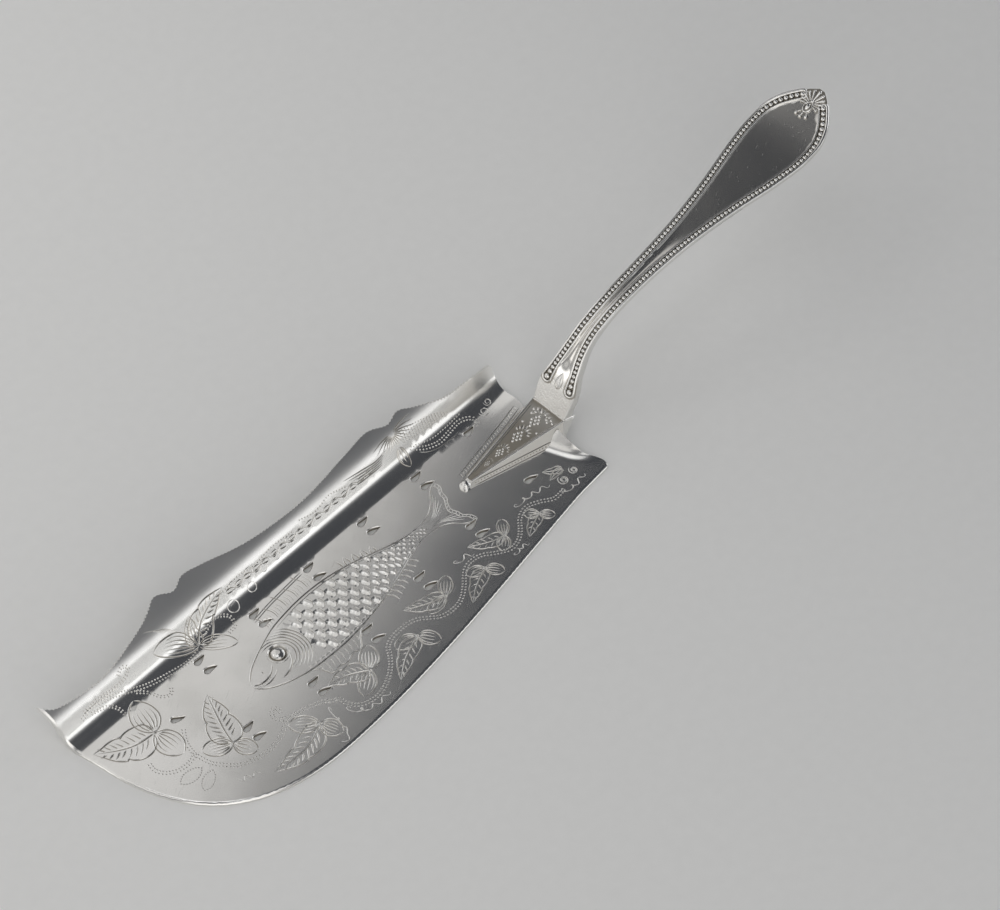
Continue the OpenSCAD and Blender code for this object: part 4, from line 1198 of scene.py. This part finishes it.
def makeHandle():
    offsets = np.array([0, 0.1, 0.25, 0.45, 0.62, 0.8, 1.1, 1.4, 1.7, 2.0, 2.2, 2.4, 2.6, 2.75, 2.95, 3.15,
                        3.35, 3.55, 3.8])
    stops = np.concatenate([np.arange(0, 18, 0.3), np.arange(18, crestEnd - 22, 0.7),
                            np.arange(crestEnd - 22, crestEnd, 0.3), [crestEnd]])
    slant = np.minimum(1 / np.maximum(np.abs(edgeIn[:, 1]), 0.1), 2.4)   # broader across a slant
    under = np.array([(-1, -0.25), (-1, -0.6), (-0.93, -0.85), (-0.75, -0.97), (-0.4, -1), (0, -1), (0.4, -1),
                      (0.75, -0.97), (0.93, -0.85), (1, -0.6), (1, -0.25)])
    rings, darks, satins = [], [], []
    for s in stops:
        half, deep = halfAt(s), heightOn(depthLine, shareAt(s))
        lean = np.interp(s, handleEdge[:, 0], slant)
        steps = half - offsets * min(lean, half / 4.2)
        steps = np.concatenate([steps, np.linspace(steps[-1], 0, 6)[1:]])
        y = np.concatenate([steps, -steps[-2::-1]])
        flat = np.column_stack([np.full(len(y), s), y])
        level, dark = handleLevel(flat)
        top = onHandle(flat, -level)
        low = onHandle(np.column_stack([np.full(len(under), s), under[:, 0] * half]), under[:, 1] * deep)
        rings.append(np.vstack([top, low]))
        darks.append(np.concatenate([dark, np.full(len(under), 0.1)]))
        satins.append(np.full(len(dark) + len(under), ease((handle["strapStart"] - s) / 2)))
    n, count = len(rings), len(rings[0])
    faces = ringFaces(n, count)
    faces += [tuple(range(count))[::-1], tuple((n - 1) * count + k for k in range(count))]
    faces = [f[::-1] for f in faces]
    return meshObject("curved_handle", np.vstack(rings), faces, np.concatenate(darks), sharp=42,
                      satin=np.concatenate(satins))


dress(makeHandle(), handleSilver, "handle")


def mirrored(flat):
    return flat * (1, -1)


def makeRims():
    bars = []
    loop = strapLine
    grown = ease((loop[:, 0] - crestEnd + 24) / 14) * (halfAt(loop[:, 0]) - np.abs(loop[:, 1]) < 1.2)
    thick = handle["rim"] + handle["rimGrowth"] * grown
    for line in (loop, mirrored(loop)):
        bars.append(sweep(onHandle(line, 0.0), crestUp(line[:, 0]), thick, 10, True))
    verts, faces, recess = gather(bars)
    return meshObject("strap_rims", verts, faces, recess)


def makeBeads():
    run = runAlong(strapMiddle)
    at = [0.0]
    while at[-1] < run[-1]:              # the pitch grows with the strap's breadth
        at.append(at[-1] + handle["beadPitch"] * np.interp(at[-1], run, strapWide) / handle["strap"])
    at = np.array(at) * run[-1] / at[-1]
    spots = np.column_stack([np.interp(at, run, strapMiddle[:, k]) for k in (0, 1)])
    size = handle["bead"] * np.interp(at, run, strapWide)
    sides, tilts = 12, np.radians((-25, 5, 30, 52, 72))
    a = np.linspace(0, 2 * math.pi, sides, endpoint=False)
    last, crown = (len(tilts) - 1) * sides, len(tilts) * sides
    faces = [face[::-1] for face in ringFaces(len(tilts), sides)]
    faces += [(last + (k + 1) % sides, last + k, crown) for k in range(sides)]
    # painted shade: the lower rings of each bead darkened where it sits down in the channel
    dark = np.concatenate([np.repeat((1.0, 0.7, 0.15, 0, 0), sides), [0]])
    domes = []
    for line in (spots, mirrored(spots)):
        for place, up, radius in zip(onHandle(line, -0.22), crestUp(line[:, 0]), size):
            side = np.array([up[2], 0, -up[0]])
            around = np.cos(a)[:, None] * side + np.sin(a)[:, None] * np.array((0, 1.0, 0))
            rings = [place + radius * (np.cos(e) * around + np.sin(e) * up) for e in tilts]
            domes.append((np.vstack(rings + [place + radius * up]), faces, dark))
    verts, faces, recess = gather(domes)
    return meshObject("border_beads", verts, faces, recess)


shapes = {
    "finger": lambda u: (0.3 + 0.7 * u) * np.sqrt(np.clip(1 - np.clip((u - 0.8) / 0.2, 0, 1) ** 2, 0, 1)),
    "drop": lambda u: np.sin(math.pi * np.clip(u, 0, 1) ** 0.7) ** 0.75,
    "oval": lambda u: np.sqrt(np.clip(1 - (2 * u - 1) ** 2, 0, 1)),
}


def petal(root, tip, half, tall, shape, base=-0.1):      # a raised lobe lying on the handle's top
    leaf = Leaf(root, tip, half)
    rows, columns = 13, 9
    u, v = np.linspace(0, 1, rows), np.linspace(-1, 1, columns)
    broad = shapes[shape](u)
    flat = np.array([leaf.at(a, c * w) for a, w in zip(u, broad) for c in v])
    lift = np.array([base + tall * math.sqrt(max(0, 1 - c * c)) * (0.25 + 0.75 * w)
                     for w in broad for c in v])
    faces = [(i * columns + k, i * columns + k + 1, (i + 1) * columns + k + 1, (i + 1) * columns + k)[::-1]
             for i in range(rows - 1) for k in range(columns - 1)]
    # painted shade: each lobe's sides darkened where they curve down to the handle
    dark = np.array([0.9 * abs(c) ** 6 for w in broad for c in v])
    return onHandle(flat, lift), faces, dark


fan = {"back": 6.6, "root": 1.2, "rays": 11, "spread": 108, "reach": 5.2, "shorter": 1.9, "breadth": 0.145}


def makeShell():                         # fan of rays at the handle's end, its boss, drops and ball
    lobes = []
    boss = np.array((crestEnd - fan["back"], 0.0))
    root = boss + (fan["root"], 0)
    for a in np.radians(np.linspace(-fan["spread"], fan["spread"], fan["rays"])):
        d = np.array((math.cos(a), math.sin(a)))
        reach = np.arange(1.2, 7, 0.05)
        line = root + reach[:, None] * d
        room = halfAt(np.minimum(line[:, 0], crestEnd)) - np.abs(line[:, 1])
        free = (line[:, 0] < crestEnd - 0.1) & (room > 0.1)
        far = min(reach[free].max(), fan["reach"] - fan["shorter"] * abs(a) / 1.95)
        lobes.append(petal(root + 1.1 * d, root + far * d, far * fan["breadth"], 1.0, "finger", -0.3))
    lobes.append(petal(boss - (1.3, 0), boss + (1.3, 0), 0.75, 1.15, "oval", -0.3))
    ring = boss + circle((0, 0), 1.0, 28)[:-1] * (1.75, 1.2)
    lobes.append(sweep(onHandle(ring, 0.05), crestUp(ring[:, 0]), 0.27, 8, True))
    for y, back in ((-1.65, 2.9), (0.0, 3.6), (1.65, 3.4)):
        drop = boss + (-back, y)
        lobes.append(petal(drop - (0.65, 0), drop + (0.65, 0), 0.55, 1.0, "oval", -0.35))
        lobes.append(petal(drop + (0.4, 0), boss + (-1.5, 0.45 * y), 0.3, 0.6, "oval", -0.35))
    lobes.append(petal(root + (0.1, -0.2), root + (1.5, -0.2), 0.7, 1.4, "oval", -0.3))
    verts, faces, recess = gather(lobes)
    return meshObject("end_shell", verts, faces, recess, sharp=50)


def makeBud():                           # bud between the straps' bulbs
    lobes = [petal((7.6, 0), (13.4, 0), 1.4, 0.75, "drop"), petal((7.9, 0), (13.2, 0), 0.3, 1.0, "drop")]
    verts, faces, recess = gather(lobes)
    return meshObject("neck_bud", verts, faces, recess, sharp=50, satin=np.full(len(verts), 0.6))


dress(makeRims(), handleSilver)
dress(makeBeads(), beadSilver)
dress(makeShell(), beadSilver)
dress(makeBud(), beadSilver)


# stage, lamps and camera
def plainFloor():
    size = 6.0
    mesh = bpy.data.meshes.new("floor")
    mesh.from_pydata([(-size, -size, 0), (size, -size, 0), (size, size, 0), (-size, size, 0)], [],
                     [(0, 1, 2, 3)])
    floor = bpy.data.objects.new("floor", mesh)
    bpy.context.scene.collection.objects.link(floor)
    material = bpy.data.materials.new("pale_floor")
    g = Graph(material)
    place = g.add("ShaderNodeTexCoord", out="Object")
    grain = g.add("ShaderNodeTexNoise", {}, {"Vector": place, "Scale": 260.0, "Detail": 3.0})
    tone = g.add("ShaderNodeMix", {"data_type": "RGBA"},
                 {"Factor": grain, 6: (0.88, 0.88, 0.87, 1), 7: (0.92, 0.92, 0.91, 1)}, out=2)
    shader = g.add("ShaderNodeBsdfPrincipled", {},
                   {"Base Color": tone, "Roughness": 0.9, "Specular IOR Level": 0.1})
    g.add("ShaderNodeOutputMaterial", {}, {"Surface": shader})
    mesh.materials.append(material)
    return floor


def softLamp(name, place, target, size, power, colour=(1, 1, 1), turn=0.0):
    data = bpy.data.lights.new(name, "AREA")
    data.shape, data.size, data.size_y = "RECTANGLE", size[0], size[1]
    data.energy, data.color = power, colour
    lamp = bpy.data.objects.new(name, data)
    bpy.context.scene.collection.objects.link(lamp)
    back = (Vector(place) - Vector(target)).normalized()
    lamp.location = place
    facing = back.to_track_quat("Z", "Y").to_matrix() @ Matrix.Rotation(turn, 3, "Z")
    lamp.rotation_euler = facing.to_euler()
    return lamp


studio = {
    "aim": (0.001, 0.0022, 0.0), "azimuth": -46.56, "elevation": 53.84, "distance": 2.0, "lens": 248.0,
    "world": ((0.0, (0.55, 0.55, 0.54, 1)), (0.26, (0.4, 0.4, 0.4, 1)), (0.55, (0.05, 0.053, 0.06, 1))),
}


def shootFrom(studio):
    a, e = math.radians(studio["azimuth"]), math.radians(studio["elevation"])
    back = Vector((math.sin(a) * math.cos(e), -math.cos(a) * math.cos(e), math.sin(e)))
    data = bpy.data.cameras.new("camera")
    data.lens, data.sensor_width, data.clip_start = studio["lens"], 36.0, 0.05
    camera = bpy.data.objects.new("camera", data)
    bpy.context.scene.collection.objects.link(camera)
    camera.location = Vector(studio["aim"]) + back * studio["distance"]
    camera.rotation_euler = (-back).to_track_quat("-Z", "Y").to_euler()
    bpy.context.scene.camera = camera


plainFloor()
shootFrom(studio)
world = bpy.data.worlds.new("studio")
bpy.context.scene.world = world
g = Graph(world)
way = g.add("ShaderNodeTexCoord", out="Generated")
height = g.add("ShaderNodeSeparateXYZ", {}, {"Vector": way}, out="Z")
tone = g.add("ShaderNodeValToRGB", {"stops": studio["world"]}, {"Fac": height})
sky = g.add("ShaderNodeBackground", {}, {"Color": tone, "Strength": 1.0})
g.add("ShaderNodeOutputWorld", {}, {"Surface": sky})
softLamp("upper_softbox", (-0.12, 0.513, 0.363), (-0.548, 0.107, -0.444), (0.76, 0.52), 0.8,
         (1.0, 0.985, 0.96), -0.5)
softLamp("overhead_softbox", (-0.17, 0.09, 1.29), (0, 0, 0), (0.5, 0.5), 0.8)
softLamp("front_softbox", (-0.2, -0.55, 0.92), (0, 0, 0), (0.5, 0.5), 0.75)
softLamp("left_upper_softbox", (-0.62, 0.25, 0.74), (0, 0, 0), (0.9, 0.6), 1.2, (1.0, 0.985, 0.96))
softLamp("left_softbox", (-1.15, 0.52, 0.3), (0, 0, 0.02), (0.7, 0.5), 1.2, (1.0, 0.98, 0.95))
softLamp("right_softbox", (0.48, -1.05, 0.24), (0, 0, 0.02), (0.9, 0.4), 0.9, (0.98, 0.99, 1.0))
softLamp("front_lamp", (-0.8, -0.95, 0.6), (0, 0, 0), (1.4, 1.1), 4.5, (1.0, 0.98, 0.95))
softLamp("right_lamp", (1.34, -0.2, 0.5), (0, 0, 0), (1.4, 1.1), 4.5, (0.96, 0.98, 1.0))
bpy.context.scene.view_settings.view_transform = "Standard"
print("studio ready")
